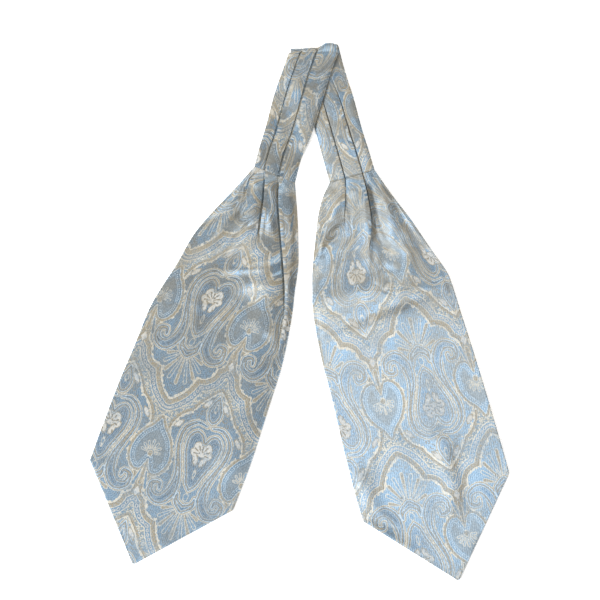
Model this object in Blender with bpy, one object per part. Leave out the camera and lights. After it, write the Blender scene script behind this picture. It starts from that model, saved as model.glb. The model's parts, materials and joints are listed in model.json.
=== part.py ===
"""A silk cravat laid flat, with its pleated neck band folded over at the centre back.

The doubled silk is pressed into three knife pleats along the neck band and opens into a pointed
blade at each end. The left leg of the band lies over the right one, so the right blade shows its
reverse. Tables are in millimetres. +X is to the right, +Y towards the fold of the neck band and
+Z up off the table; the origin is the middle of the outline, on the table.
"""

from collections import namedtuple
from math import cos, hypot, pi, sin

import bmesh
import bpy

MM = 0.001

# Driving sizes, in millimetres.
CLOTH = 1.1  # wall of one panel
LAYER_GAP = 0.3  # between panels that lie on each other, and at seams
BAND_THICK = 4.6  # the pleated band's layers, pressed together
BAND_RISE = 2.1  # height of one pleat on the next, pressed flat in the band
TURN_RADIUS = 0.25  # inside of the fold at the centre back
FOLD_Y = 257.4  # where the legs of the band start to turn
CREST_LEFT = -8.8  # the ends of the fold at the centre back
CREST_RIGHT = 39.6
SLOPE_REACH = 30.0  # over this width the over leg of the band comes down to the table
OPENING = 16.0  # past the band's seam, the length over which the pleats spring up
PANEL_UNDER = CLOTH + LAYER_GAP  # underside of the upper panel where it lies flat
PANEL_TOP = PANEL_UNDER + CLOTH  # top of the upper panel where it lies flat
PANEL_ROLL = 1.0  # how far in from the edge the upper panel is full height
PUFF_REACH = 7.0  # how far in from the edge the upper panel starts to puff up
LOWER_INSET = 0.6  # the upper panel rolls this far past the lower one's edge
LIP_HALF = 2.3  # half the width of a fold edge's rounded lip
LIP_CLEAR = 2.8  # from a fold edge to the first plain point beside it
PLEAT_LEAST = 6.0  # the least width of a strip between two fold edges
CRISP_FROM = 0.6  # a fold edge lower than this has no hollow under it
TIP_WIDTH = 2.4  # the blunt end of a blade's point
NARROW = 40.0  # where a blade is narrower than this, its folds and edges scale down

# How finely the solids are drawn.
STEPS_BETWEEN_ROWS = 2
TIP_STEPS = 5
TURN_STEPS = 5
BAND_SAMPLES = 3  # plain points on each strip of the band
PANEL_SAMPLES = 7  # plain points between two fold edges of a blade

SILK = (0.47, 0.55, 0.62, 1.0)
SILK_ROUGHNESS = 0.45

# A row for each section: its two ends on the outline, and how far the cloth is puffed up there.
Section = namedtuple("Section", "left_x left_y right_x right_y puff", defaults=(0.0,))

LEFT_BLADE = (
    Section(-45.0, 145.0, -4.6, 128.5, 0.0),
    Section(-63.0, 124.5, -3.0, 110.0, 4.0),
    Section(-86.0, 100.5, -1.7, 90.0, 4.8),
    Section(-106.0, 76.5, -1.0, 66.0, 4.0),
    Section(-123.0, 47.0, -1.2, 44.0, 2.8),
    Section(-137.0, 25.5, -4.5, 21.0, 2.0),
    Section(-149.5, 4.0, -8.0, -7.5, 1.4),
    Section(-165.5, -35.0, -17.0, -52.0, 1.0),
    Section(-181.5, -73.0, -31.0, -97.0, 0.8),
    Section(-197.0, -114.0, -48.0, -150.0, 0.6),
    Section(-209.5, -148.5, -66.5, -198.5, 0.5),
)
LEFT_TIP = (-166.5, -253.0)

RIGHT_BLADE = (
    Section(30.2, 129.0, 75.0, 141.5, 0.0),
    Section(22.5, 112.0, 93.0, 116.0, 4.0),
    Section(18.0, 91.5, 112.0, 91.0, 4.8),
    Section(15.5, 68.0, 130.0, 64.5, 4.2),
    Section(13.0, 42.0, 146.5, 41.0, 3.0),
    Section(12.8, 21.0, 152.6, 27.0, 2.0),
    Section(13.8, -3.0, 162.0, -3.0, 1.4),
    Section(22.0, -47.0, 171.0, -31.0, 1.0),
    Section(32.0, -85.5, 182.5, -68.0, 0.8),
    Section(44.0, -137.0, 197.0, -117.0, 0.6),
    Section(56.0, -184.0, 206.5, -150.0, 0.5),
    Section(63.5, -209.5, 209.5, -161.5, 0.5),
)
RIGHT_TIP = (159.2, -269.2)

BAND_OVER = (
    Section(-11.0, FOLD_Y, 38.6, FOLD_Y),
    Section(-15.0, 246.0, 34.0, 246.0),
    Section(-20.5, 231.0, 28.8, 230.5),
    Section(-26.0, 214.5, 23.4, 212.0),
    Section(-34.0, 184.0, 12.0, 176.5),
    Section(-40.3, 163.5, 2.0, 153.0),
    Section(-45.0, 145.0, -4.6, 128.5),
)
BAND_UNDER = (
    Section(-8.0, FOLD_Y, 41.0, FOLD_Y),
    Section(-4.5, 246.0, 44.0, 246.0),
    Section(0.5, 230.5, 48.5, 231.0),
    Section(6.5, 212.0, 53.8, 214.5),
    Section(16.5, 178.0, 62.5, 182.5),
    Section(23.5, 153.0, 69.0, 162.0),
    Section(30.2, 129.0, 75.0, 141.5),
)

# The band's two fold edges, as shares of its width at the centre back and at the blade's seam.
BandEdge = namedtuple("BandEdge", "at_fold at_seam")
OVER_EDGES = (BandEdge(0.28, 0.29), BandEdge(0.60, 0.64))
UNDER_EDGES = (BandEdge(0.31, 0.31), BandEdge(0.66, 0.70))
# How far each of the band's strips stands out past the flat fold, at the crest.
CREST_BULGE = (0.0, 0.8, 6.0)
CRISP_AT_FOLD = 0.55  # how much of their rise the over leg's pleats keep round the fold
CRISP_REACH = 0.25  # share of a leg's length over which they regain it

# The fold edges of the opened pleats. faces is the side that the edge looks to, seam_rise its
# height at the band's seam, and the path runs from there to where the pleat has opened.
FoldEdge = namedtuple("FoldEdge", "faces seam_rise rise path")
LEFT = -1
RIGHT = 1
LEFT_EDGES = (
    FoldEdge(LEFT, 0.0, 1.6, ((-43.8, 144.5), (-48.0, 132.0), (-51.8, 117.8), (-54.0, 104.0))),
    FoldEdge(LEFT, BAND_RISE, 3.4, ((-33.3, 140.5), (-34.0, 118.0), (-36.0, 99.5), (-41.0, 62.0))),
    FoldEdge(LEFT, BAND_RISE, 3.8, ((-19.1, 134.0), (-20.0, 110.0), (-13.3, 35.0), (-14.5, -36.0))),
)
RIGHT_EDGES = (
    FoldEdge(RIGHT, BAND_RISE, 2.6, ((44.2, 132.9), (44.9, 112.0), (44.9, 93.5), (46.0, 76.0))),
    FoldEdge(RIGHT, BAND_RISE, 3.8, ((61.5, 137.7), (67.2, 114.0), (70.8, 88.0), (69.0, 40.0))),
)

# The lip of a fold edge, from the cloth beside it to the strip on top, as shares of the lip's half
# width and of the edge's rise. The second and third points are the hollow under the edge.
LipPoint = namedtuple("LipPoint", "across height")
LIP = (
    LipPoint(-1.0, 0.0),
    LipPoint(0.26, 0.04),
    LipPoint(0.48, 0.34),
    LipPoint(-0.3, 0.5),
    LipPoint(-0.15, 0.88),
    LipPoint(0.77, 1.0),
)
# The same lip where the edge has run out and the cloth is plain.
PLAIN_LIP = (-0.5, -0.3, -0.1, 0.1, 0.3, 0.5)

# The layered side of the band, from the table up: a folded layer, a groove and the next layer.
SidePoint = namedtuple("SidePoint", "inward height")
BAND_SIDE = (
    SidePoint(0.9, 0.0),
    SidePoint(0.0, 0.2),
    SidePoint(0.0, 0.36),
    SidePoint(0.9, 0.46),
    SidePoint(0.0, 0.58),
    SidePoint(0.0, 0.8),
)
BAND_MARGIN = 1.2  # from the band's side to the first plain point of its top
BAND_ROUND = 3.0  # over this width the band's top is rounded down at its sides
BAND_DROP = 0.7  # how far it comes down there

# Soft ridges and, where the height is below nought, troughs. The width is to half the height.
Ridge = namedtuple("Ridge", "height width path")
RIDGE_START = 0.2  # share of its length over which a ridge rises
RIDGE_END = 0.45  # share of its length over which it dies away
LEFT_RIDGES = (
    Ridge(2.6, 8.0, ((-42.0, 138.0), (-41.5, 120.0), (-48.0, 92.0), (-62.0, 62.0), (-84.0, 36.0))),
    Ridge(-1.6, 5.0, ((-41.0, 96.0), (-46.0, 78.0), (-56.0, 56.0))),
    Ridge(2.2, 5.0, ((-29.5, 132.0), (-29.0, 104.0), (-31.0, 82.0), (-36.0, 62.0))),
    Ridge(-2.6, 4.5, ((-24.5, 124.0), (-22.5, 98.0), (-20.0, 72.0), (-19.0, 50.0))),
    Ridge(2.2, 6.0, ((-12.0, 124.0), (-9.5, 92.0), (-7.0, 50.0), (-8.0, 12.0), (-12.0, -24.0))),
    Ridge(1.7, 5.0, ((-66.0, 47.0), (-44.0, 51.0), (-22.0, 60.0))),
    Ridge(-1.9, 5.0, ((-92.0, 41.0), (-56.0, 43.5), (-32.0, 48.5), (-18.0, 56.0))),
    Ridge(1.6, 8.0, ((-96.0, 24.0), (-52.0, 30.0), (-16.0, 40.0))),
    Ridge(1.6, 9.0, ((-70.0, 104.0), (-92.0, 70.0), (-116.0, 30.0))),
    Ridge(0.9, 12.0, ((-66.0, 8.0), (-92.0, -60.0), (-112.0, -140.0))),
)
RIGHT_RIDGES = (
    Ridge(1.8, 6.0, ((38.0, 124.0), (34.0, 92.0), (31.0, 56.0), (30.0, 26.0))),
    Ridge(-1.8, 5.0, ((50.5, 122.0), (53.0, 96.0), (51.0, 70.0), (50.0, 52.0))),
    Ridge(2.8, 6.0, ((57.0, 132.0), (64.5, 106.0), (66.0, 74.0), (63.0, 40.0))),
    Ridge(-2.4, 7.0, ((72.0, 114.0), (77.0, 92.0), (85.0, 70.0), (94.0, 48.0))),
    Ridge(2.4, 7.0, ((77.0, 130.0), (88.0, 102.0), (98.0, 74.0), (110.0, 46.0))),
    Ridge(1.6, 8.0, ((92.0, 114.0), (116.0, 80.0), (138.0, 48.0))),
    Ridge(-1.2, 5.0, ((16.0, 22.0), (50.0, 30.0), (90.0, 35.0), (144.0, 36.0))),
    Ridge(1.6, 6.0, ((14.0, 10.0), (50.0, 18.0), (90.0, 23.0), (150.0, 25.0))),
    Ridge(0.9, 12.0, ((92.0, 4.0), (106.0, -60.0), (132.0, -150.0))),
)


def smooth(share):
    """0 to 1 with no corner at either end."""
    share = min(max(share, 0.0), 1.0)
    return share * share * (3 - 2 * share)


def mix(start, end, share):
    """Part of the way from start to end."""
    return start + (end - start) * share


def width_of(row):
    """The length of a section."""
    return hypot(row.right_x - row.left_x, row.right_y - row.left_y)


def place(row, across, height):
    """A point of a section, in millimetres."""
    share = across / width_of(row)
    return mix(row.left_x, row.right_x, share), mix(row.left_y, row.right_y, share), height


def mixed(row, other, share):
    """A section part of the way from one to another."""
    return Section(*(mix(a, b, share) for a, b in zip(row, other)))


def between(before, start, end, after, share):
    """A section part of the way from start to end, on a smooth curve through all four."""
    curve = (
        b + share / 2 * (c - a + share * (2 * a - 5 * b + 4 * c - d + share * (3 * (b - c) + d - a)))
        for a, b, c, d in zip(before, start, end, after)
    )
    return Section(*curve)


def refined(rows):
    """The rows with more between each two, on a smooth curve."""
    found = []
    for i in range(len(rows) - 1):
        before = rows[max(i - 1, 0)]
        after = rows[min(i + 2, len(rows) - 1)]
        for step in range(STEPS_BETWEEN_ROWS):
            found.append(between(before, rows[i], rows[i + 1], after, step / STEPS_BETWEEN_ROWS))
    return [*found, rows[-1]]


def blade_rows(rows, tip, tip_steps):
    """A blade's sections from the gap at the band's seam to its blunt point."""
    rows = refined(rows)
    shoulders = rows[-1]
    point = Section(tip[0], tip[1], tip[0], tip[1])
    last = 1 - TIP_WIDTH / width_of(shoulders)
    narrowed = [mixed(shoulders, point, last * (step + 1) / tip_steps) for step in range(tip_steps)]
    seam_step = hypot(rows[1].left_x - rows[0].left_x, rows[1].left_y - rows[0].left_y)
    return [mixed(rows[0], rows[1], LAYER_GAP / seam_step), *rows[1:], *narrowed]


def nearest(path, x, y):
    """(distance from a path, share of its length) at the path's nearest point."""
    lengths = [hypot(b[0] - a[0], b[1] - a[1]) for a, b in zip(path, path[1:])]
    found = []
    run = 0.0
    for (ax, ay), (bx, by), length in zip(path, path[1:], lengths):
        share = ((x - ax) * (bx - ax) + (y - ay) * (by - ay)) / length**2
        share = min(max(share, 0.0), 1.0)
        away = hypot(x - mix(ax, bx, share), y - mix(ay, by, share))
        found.append((away, (run + share * length) / sum(lengths)))
        run += length
    return min(found)


def raised(ridges, x, y):
    """The height of the soft ridges and troughs at a place on a blade."""
    total = 0.0
    for ridge in ridges:
        away, share = nearest(ridge.path, x, y)
        fade = smooth(share / RIDGE_START) * smooth((1 - share) / RIDGE_END)
        total += ridge.height * fade * 0.5 ** ((away / ridge.width) ** 2)
    return total


def crossing(row, path):
    """(how far along a section a path crosses it, share of the path's length)."""
    width = width_of(row)
    ux, uy = (row.right_x - row.left_x) / width, (row.right_y - row.left_y) / width
    across = [(x - row.left_x) * ux + (y - row.left_y) * uy for x, y in path]
    ahead = [(y - row.left_y) * ux - (x - row.left_x) * uy for x, y in path]
    for i in range(len(path) - 1):
        if ahead[i] >= 0 > ahead[i + 1]:
            share = ahead[i] / (ahead[i] - ahead[i + 1])
            return mix(across[i], across[i + 1], share), (i + share) / (len(path) - 1)
    return (across[0], 0.0) if ahead[0] < 0 else (across[-1], 1.0)


class Step:
    """A fold edge where it crosses a section: its place, height, and the width of the strip on top."""

    def __init__(self, at, faces, rise):
        self.at = at
        self.faces = faces
        self.rise = rise
        self.reach = 0.0

    def height(self, across):
        """What the strip on top adds. It sinks from its own edge to the far side."""
        beyond = (self.at - across) * self.faces
        return self.rise * (1 - smooth(beyond / self.reach)) if beyond > 0 else 0.0


def spaced(steps, width):
    """The steps moved apart to leave each strip its least width, with their reach set."""
    least = min(PLEAT_LEAST, width / (len(steps) + 1.5))
    stops = [0.0, *(step.at for step in steps), width]
    for i in range(1, len(stops) - 1):
        stops[i] = max(stops[i], stops[i - 1] + least)
    for i in range(len(stops) - 2, 0, -1):
        stops[i] = min(stops[i], stops[i + 1] - least)
    for i, step in enumerate(steps, 1):
        step.at = stops[i]
        step.reach = stops[i + 1] - stops[i] if step.faces == LEFT else stops[i] - stops[i - 1]
    return steps


def lip(step, low, scale):
    """The points across one fold edge, left to right, as (across, height, place on the underside)."""
    crisp = smooth((step.rise - CRISP_FROM) / (BAND_RISE - CRISP_FROM))
    half = -step.faces * LIP_HALF * scale
    points = []
    for point, plain in zip(LIP, PLAIN_LIP):
        across = step.at + half * mix(plain, point.across, crisp)
        points.append((across, low + point.height * step.rise, step.at + half * plain))
    return points[::-1] if step.faces == RIGHT else points


def top_line(width, steps, samples, margin, level):
    """The upper side of a section, left to right, as (across, height, place on the underside)."""
    stops = [margin, *(step.at for step in steps), width - margin]
    scale = min(1.0, min(b - a for a, b in zip(stops, stops[1:])) / PLEAT_LEAST)
    points = []
    for i in range(len(stops) - 1):
        start = stops[i] + (LIP_CLEAR * scale if i > 0 else 0.0)
        end = stops[i + 1] - (LIP_CLEAR * scale if i < len(steps) else 0.0)
        for k in range(samples):
            across = mix(start, end, k / (samples - 1))
            points.append((across, level(across) + sum(step.height(across) for step in steps), across))
        if i < len(steps):
            low = level(steps[i].at) + sum(step.height(steps[i].at) for step in steps)
            points += lip(steps[i], low, scale)
    return points


def panel_ring(row, edges, ridges, along):
    """One closed ring of a blade's upper panel. along is how far it lies from the band's seam."""
    width = width_of(row)
    opened = smooth(along / OPENING)
    scale = min(1.0, width / NARROW)
    steps = []
    for edge in edges:
        at, share = crossing(row, edge.path)
        rise = mix(edge.seam_rise, edge.rise, opened) * (1 - smooth((share - 0.35) / 0.65))
        steps.append(Step(at, edge.faces, rise * scale))

    def level(across):
        x, y, _ = place(row, across, 0.0)
        inside = smooth(min(across, width - across) / (PUFF_REACH * scale))
        dome = sin(pi * across / width) ** 0.5
        return PANEL_TOP + max(0.0, opened * inside * (row.puff * dome + raised(ridges, x, y)))

    top = top_line(width, spaced(steps, width), PANEL_SAMPLES, PANEL_ROLL * scale, level)
    upper = [(across, height) for across, height, _ in top]
    under = [(base, level(base) - CLOTH) for _, _, base in top]
    half = (PANEL_UNDER + PANEL_TOP) / 2
    ring = [(0.0, half), *upper, (width, half), *under[::-1]]
    return [place(row, across, height) for across, height in ring]


def panel_rings(rows, tip, edges, ridges):
    """The rings of a blade's upper panel, from the band's seam to its point."""
    rows = blade_rows(rows, tip, TIP_STEPS)
    middles = [place(row, width_of(row) / 2, 0.0) for row in rows]
    along = 0.0
    rings = []
    for i, row in enumerate(rows):
        if i > 0:
            along += hypot(middles[i][0] - middles[i - 1][0], middles[i][1] - middles[i - 1][1])
        rings.append(panel_ring(row, edges, ridges, along))
    return rings


def lower_outline(rows, tip):
    """The outline of a blade's lower panel, inside the upper panel's edge."""
    left, right = [], []
    for row in blade_rows(rows, tip, 1):
        width = width_of(row)
        inset = min(LOWER_INSET, 0.25 * width)
        left.append(place(row, inset, 0.0))
        right.append(place(row, width - inset, 0.0))
    return left + right[::-1]


def band_ring(row, edges, share, faces, crispness, under_height):
    """One closed ring of a leg of the band, as (across, height). share runs from fold to seam."""
    width = width_of(row)
    rise = BAND_RISE * crispness
    steps = [Step(mix(edge.at_fold, edge.at_seam, share) * width, faces, rise) for edge in edges]

    def level(across):
        rounded = 1 - smooth(min(across, width - across) / BAND_ROUND)
        return under_height(across) + BAND_THICK - rise - BAND_DROP * rounded

    def side(across, inward, high):
        low = under_height(across)
        return [(across + inward * point.inward, mix(low, high, point.height)) for point in BAND_SIDE]

    top = top_line(width, spaced(steps, width), BAND_SAMPLES, BAND_MARGIN, level)
    upper = [(across, height) for across, height, _ in top]
    left = side(0.0, 1, upper[0][1])
    right = side(width, -1, upper[-1][1])
    under = [(part * width, under_height(part * width)) for part in (0.75, 0.5, 0.25)]
    return [*left, *upper, *right[::-1], *under]


def crest_bulge(share):
    """How far a strip of the band stands out at the crest, share of the way along the fold."""
    first, second, third = CREST_BULGE
    middle = mix(first, second, smooth((share - 0.24) / 0.08))
    end = mix(0.35, 1.0, smooth((1 - share) / 0.05))
    return mix(middle, third, smooth((share - 0.56) / 0.16)) * end


def turned(row, ring, angle, upward):
    """A ring of a leg swung up round the fold. upward is 1 for the over leg, -1 for the under one."""
    crest = BAND_THICK + TURN_RADIUS
    width = width_of(row)
    found = []
    for across, height in ring:
        outward = height if upward > 0 else BAND_THICK - height
        bulge = crest_bulge(across / width) * sin(angle) ** 2 * outward / BAND_THICK
        lift = LAYER_GAP / 2 * sin(angle) + (TURN_RADIUS + outward) * cos(angle)
        x, y, _ = place(row, across, 0.0)
        found.append((x, y + (TURN_RADIUS + outward + bulge) * sin(angle), crest + upward * lift))
    return found


def turn_rings(first_row, edges, faces, crispness, upward):
    """The rings of one leg's half of the turn, from the crest to where the leg lies flat."""
    crest = Section(CREST_LEFT, FOLD_Y, CREST_RIGHT, FOLD_Y)
    rings = []
    for step in range(TURN_STEPS):
        angle = pi / 2 * (1 - step / TURN_STEPS)
        row = mixed(first_row, crest, sin(angle))
        ring = band_ring(row, edges, 0.0, faces, crispness, lambda across: 0.0)
        rings.append(turned(row, ring, angle, upward))
    return rings


def under_left_edge(y):
    """Where the under leg's left edge is, at a place up the table."""
    rows = BAND_UNDER
    if y > rows[0].left_y:
        return rows[0].left_x
    for high, low in zip(rows, rows[1:]):
        if y >= low.left_y:
            return mix(high.left_x, low.left_x, (high.left_y - y) / (high.left_y - low.left_y))
    return rows[-1].left_x


def over_leg_rings():
    """The over leg: half of the turn, then on the under leg, and beside it down to the table."""
    rows = refined(BAND_OVER)
    rings = turn_rings(rows[0], OVER_EDGES, LEFT, CRISP_AT_FOLD, 1)
    for i, row in enumerate(rows):
        share = i / (len(rows) - 1)

        def under_height(across, row=row):
            x, y, _ = place(row, across, 0.0)
            beside = under_left_edge(y) - x
            return (BAND_THICK + 2 * TURN_RADIUS) * (1 - smooth(beside / SLOPE_REACH))

        crispness = mix(CRISP_AT_FOLD, 1.0, smooth(share / CRISP_REACH))
        ring = band_ring(row, OVER_EDGES, share, LEFT, crispness, under_height)
        rings.append([place(row, across, height) for across, height in ring])
    return rings


def under_leg_rings():
    """The under leg: half of the turn, then flat on the table."""
    rows = refined(BAND_UNDER)
    rings = turn_rings(rows[0], UNDER_EDGES, RIGHT, 0.0, -1)
    for i, row in enumerate(rows):
        share = i / (len(rows) - 1)
        crispness = smooth(share / CRISP_REACH)
        ring = band_ring(row, UNDER_EDGES, share, RIGHT, crispness, lambda across: 0.0)
        rings.append([place(row, across, height) for across, height in ring])
    return rings


def silk():
    """The cravat's silk: a satin-faced cloth, blue with fawn."""
    material = bpy.data.materials.new("silk")
    material.use_nodes = True
    shader = material.node_tree.nodes["Principled BSDF"]
    shader.inputs["Base Color"].default_value = SILK
    shader.inputs["Roughness"].default_value = SILK_ROUGHNESS
    shader.inputs["Metallic"].default_value = 0.0
    return material


def loft(name, rings, material, collection):
    """A closed solid through rings of equal length, in millimetres."""
    shape = bmesh.new()
    loops = [[shape.verts.new([c * MM for c in point]) for point in ring] for ring in rings]
    for one, two in zip(loops, loops[1:]):
        for i in range(len(one)):
            shape.faces.new((one[i - 1], one[i], two[i], two[i - 1]))
    shape.faces.new(loops[0])
    shape.faces.new(loops[-1])
    bmesh.ops.recalc_face_normals(shape, faces=shape.faces)
    mesh = bpy.data.meshes.new(name)
    shape.to_mesh(mesh)
    shape.free()
    mesh.materials.append(material)
    mesh.shade_smooth()
    mesh.set_sharp_from_angle(angle=0.9)
    collection.objects.link(bpy.data.objects.new(name, mesh))


def flat_panel(name, outline, material, collection):
    """A flat panel of cloth lying on the table, as a filled and extruded outline."""
    curve = bpy.data.curves.new(name, "CURVE")
    curve.dimensions = "2D"
    curve.fill_mode = "BOTH"
    curve.extrude = CLOTH / 2 * MM
    spline = curve.splines.new("POLY")
    spline.points.add(len(outline) - 1)
    for point, (x, y, _) in zip(spline.points, outline):
        point.co = (x * MM, y * MM, 0.0, 1.0)
    spline.use_cyclic_u = True
    curve.materials.append(material)
    part = bpy.data.objects.new(name, curve)
    part.location.z = CLOTH / 2 * MM
    collection.objects.link(part)


def main():
    """Build the cravat."""
    for old in list(bpy.data.objects):
        bpy.data.objects.remove(old)
    collection = bpy.data.collections.new("silk_cravat")
    bpy.context.scene.collection.children.link(collection)
    cloth = silk()
    loft("neck_band_over", over_leg_rings(), cloth, collection)
    loft("neck_band_under", under_leg_rings(), cloth, collection)
    upper_left = panel_rings(LEFT_BLADE, LEFT_TIP, LEFT_EDGES, LEFT_RIDGES)
    loft("blade_left_upper", upper_left, cloth, collection)
    flat_panel("blade_left_lower", lower_outline(LEFT_BLADE, LEFT_TIP), cloth, collection)
    upper_right = panel_rings(RIGHT_BLADE, RIGHT_TIP, RIGHT_EDGES, RIGHT_RIDGES)
    loft("blade_right_upper", upper_right, cloth, collection)
    flat_panel("blade_right_lower", lower_outline(RIGHT_BLADE, RIGHT_TIP), cloth, collection)


main()
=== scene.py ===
"""The looks of a silk cravat laid flat.

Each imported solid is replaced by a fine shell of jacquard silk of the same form. The cloth carries its
own coordinates, which run across and along the silk before it was pleated, and a woven repeat of
paisleys in pointed ogee frames is charted once and read at those coordinates. Tables are in
millimetres. +X is to the right, +Y towards the fold at the centre back and +Z up off the table.
"""

import json
import logging
from dataclasses import astuple, dataclass, field
from enum import Enum
from math import ceil, cos, hypot, pi, radians, sin

import bpy
import numpy as np
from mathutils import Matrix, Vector

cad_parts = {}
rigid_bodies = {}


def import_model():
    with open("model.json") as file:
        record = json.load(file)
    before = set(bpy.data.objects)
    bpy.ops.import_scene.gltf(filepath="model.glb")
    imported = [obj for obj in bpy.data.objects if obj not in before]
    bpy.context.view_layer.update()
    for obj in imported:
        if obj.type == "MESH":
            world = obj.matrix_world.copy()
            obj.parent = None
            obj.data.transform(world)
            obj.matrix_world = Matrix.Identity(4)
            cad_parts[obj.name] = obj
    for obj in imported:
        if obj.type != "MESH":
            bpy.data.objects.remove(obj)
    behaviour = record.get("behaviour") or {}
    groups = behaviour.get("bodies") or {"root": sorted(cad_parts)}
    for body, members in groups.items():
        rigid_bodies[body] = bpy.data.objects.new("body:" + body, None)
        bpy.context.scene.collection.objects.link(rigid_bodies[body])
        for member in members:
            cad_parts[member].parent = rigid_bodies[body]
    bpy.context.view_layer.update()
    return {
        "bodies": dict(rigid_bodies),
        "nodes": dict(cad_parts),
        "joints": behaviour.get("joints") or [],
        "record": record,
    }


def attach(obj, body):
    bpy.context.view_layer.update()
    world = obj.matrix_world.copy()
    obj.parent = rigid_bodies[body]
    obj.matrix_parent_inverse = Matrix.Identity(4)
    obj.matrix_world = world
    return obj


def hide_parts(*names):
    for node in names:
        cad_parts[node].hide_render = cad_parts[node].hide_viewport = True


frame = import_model()

LOG = logging.getLogger("silk_cravat")
MM = 0.001  # in metres
BODY = "root"
FLOOR = "paper_floor"

# Sizes shared with the solids, in millimetres.
CLOTH = 1.1  # wall of one panel
LAYER_GAP = 0.3  # between panels that lie on each other
PANEL_UNDER = CLOTH + LAYER_GAP  # underside of an upper panel where it lies flat
PANEL_TOP = PANEL_UNDER + CLOTH  # and its face
PANEL_ROLL = 1.0  # how far in from the edge the upper panel is full height
LOWER_INSET = 0.6  # how far the face of a lower panel stays in from its edge
OPENING = 16.0  # past the band's seam, the length over which the pleats spring up
TIP_WIDTH = 2.4  # the blunt end of a blade's point
NARROW = 40.0  # where a blade is narrower than this, its folds and edges scale down
RIDGE_STARTS = 0.2  # the share of a ridge's length over which it rises
RIDGE_ENDS = 0.45  # and the share over which it runs out
BAND_THICK = 4.6  # the pleated band's layers, pressed together
BAND_RISE = 2.1  # height of one pleat on the next, pressed flat in the band
BAND_MARGIN = 1.2  # from the band's side to its first column
TURN_RADIUS = 0.25  # inside of the fold at the centre back
FOLD_Y = 257.4  # where the legs of the band start to turn
CREST_LEFT = -8.8  # the ends of the fold at the centre back
CREST_RIGHT = 39.6
SLOPE_REACH = 30.0  # over this width the over leg of the band comes down to the table

# Sizes of the looks alone, in millimetres.
PANEL_CLEAR = 0.1  # the least height of a groove's floor over the panel's underside
INNER_SUNK = 0.2  # how far under that underside a panel's inner side may go
SOFT_FLOOR = 1.2  # how softly a trough runs out on the lower panel
PUFF_REACH = 8.0  # how far in from the edge the upper panel starts to puff up
LOWER_ROUND = 6.0  # how far in from the edge a lower panel's underside may leave the table
LIP_HALF = 2.7  # half the width of a fold edge's rounded lip
LIP_CLEAR = 3.2  # from a fold edge to the first plain point beside it
GAPE_FROM = -0.5  # the share of the lip's half width beyond which its points are the groove's far side
SHUT_GAPE = 0.68  # how far that far side stays from the fold on the side that is pressed flatter
PLEAT_LEAST = 6.6  # the least width of a strip between two fold edges
SPARE_STRIPS = 1.5  # the strips of that width that must fit in beside the fold edges, past their number
STRIP_COLUMNS = 3  # the least number of columns on a strip
STRIP_FALL = 1.9  # how late a strip dips to go under the next fold edge
CRISP_FROM = 0.3  # a fold edge lower than this has no hollow under it
CRISP_FULL = 1.0  # and one higher than this has all of it
TUCK_REACH = 4.0  # over this width the cloth beside a fold edge dips to go under it
UNDER_REACH = 6.0  # from a fold edge to where a panel's inner side has come halfway back up
UNDER_DEEPER = 1.3  # how far that inner side goes down under a pleat, against the pleat's own depth
UNDER_RISE = 1.1  # height of a pleat in the leg that lies below, pressed flatter by the one on it
CRISP_AT_FOLD = 1.05  # the over leg's pleats at the centre back, against the height of the rest
FLAT_SEAM_DIP = 0.12  # how far the silk dips to the left seam, which is pressed flatter
GROOVE_LEAST = 0.4  # the least height of a groove's floor over what the band lies on
BAND_ROUND = 4.5  # the width over which the band's face rounds off to its sides
BAND_DROP = 1.2  # how far it drops there
CREST_BULGE = (0.0, 0.8, 5.2)  # how far each strip of the band stands out at the crest
CREST_STEPS = ((0.24, 0.08), (0.56, 0.16))  # the share where each later strip starts, and its slope
CREST_END = 0.35  # the share of the last strip's bulge that is left at its end
CREST_ROUND = 0.05  # and the share of the width over which it drops to that
UNHIDDEN = 0.4  # the share of the silk that flat cloth takes up, against the pleats' heights
SHARP_FROM = 60.0  # degrees between two faces, past which the edge between them is sharp

# The silk as it was woven, in millimetres.
SILK_WIDTH = 152.0  # across a blade where it lies open
REPEAT_WIDE = 98.0  # the woven repeat, in half drop
REPEAT_LONG = 296.0
CHART_STEP = 0.5  # between two readings of the repeat
OUTSIDE = 60.0  # a distance that stands for none of a shape nearby
PETAL_FULL = 0.7  # how soon a petal widens, less being sooner

Array = np.ndarray
Place = tuple[float, float]
Path = tuple[Place, ...]


class Side(Enum):
    """The side that a fold edge looks to."""

    LEFT = -1
    RIGHT = 1


@dataclass(frozen=True)
class Section:
    """A straight section: its two ends on the outline, and how far the cloth is puffed up there."""

    left_x: float
    left_y: float
    right_x: float
    right_y: float
    puff: float = 0.0


@dataclass(frozen=True)
class FoldEdge:
    """A fold edge of an opened pleat, from the band's seam to where the pleat has run out."""

    faces: Side
    seam_rise: float  # its height at the seam
    rise: float  # and where the pleat has sprung up
    path: Path
    takes: float = 1.0  # its share of the silk that the pleats hide, against the other edges'
    tuck: float = 0.0  # how far the cloth beside it dips to go under it, as a share of its height
    holds: float = 0.45  # the share of its path over which it keeps its height


@dataclass(frozen=True)
class BandEdge:
    """A fold edge of the band, as shares of its width at the centre back and at the seam."""

    at_fold: float
    at_seam: float
    takes: float = 1.0


@dataclass(frozen=True)
class Ridge:
    """A soft ridge, or a trough where its height is below nought. The width is to half the height."""

    height: float
    width: float
    path: Path


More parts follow.
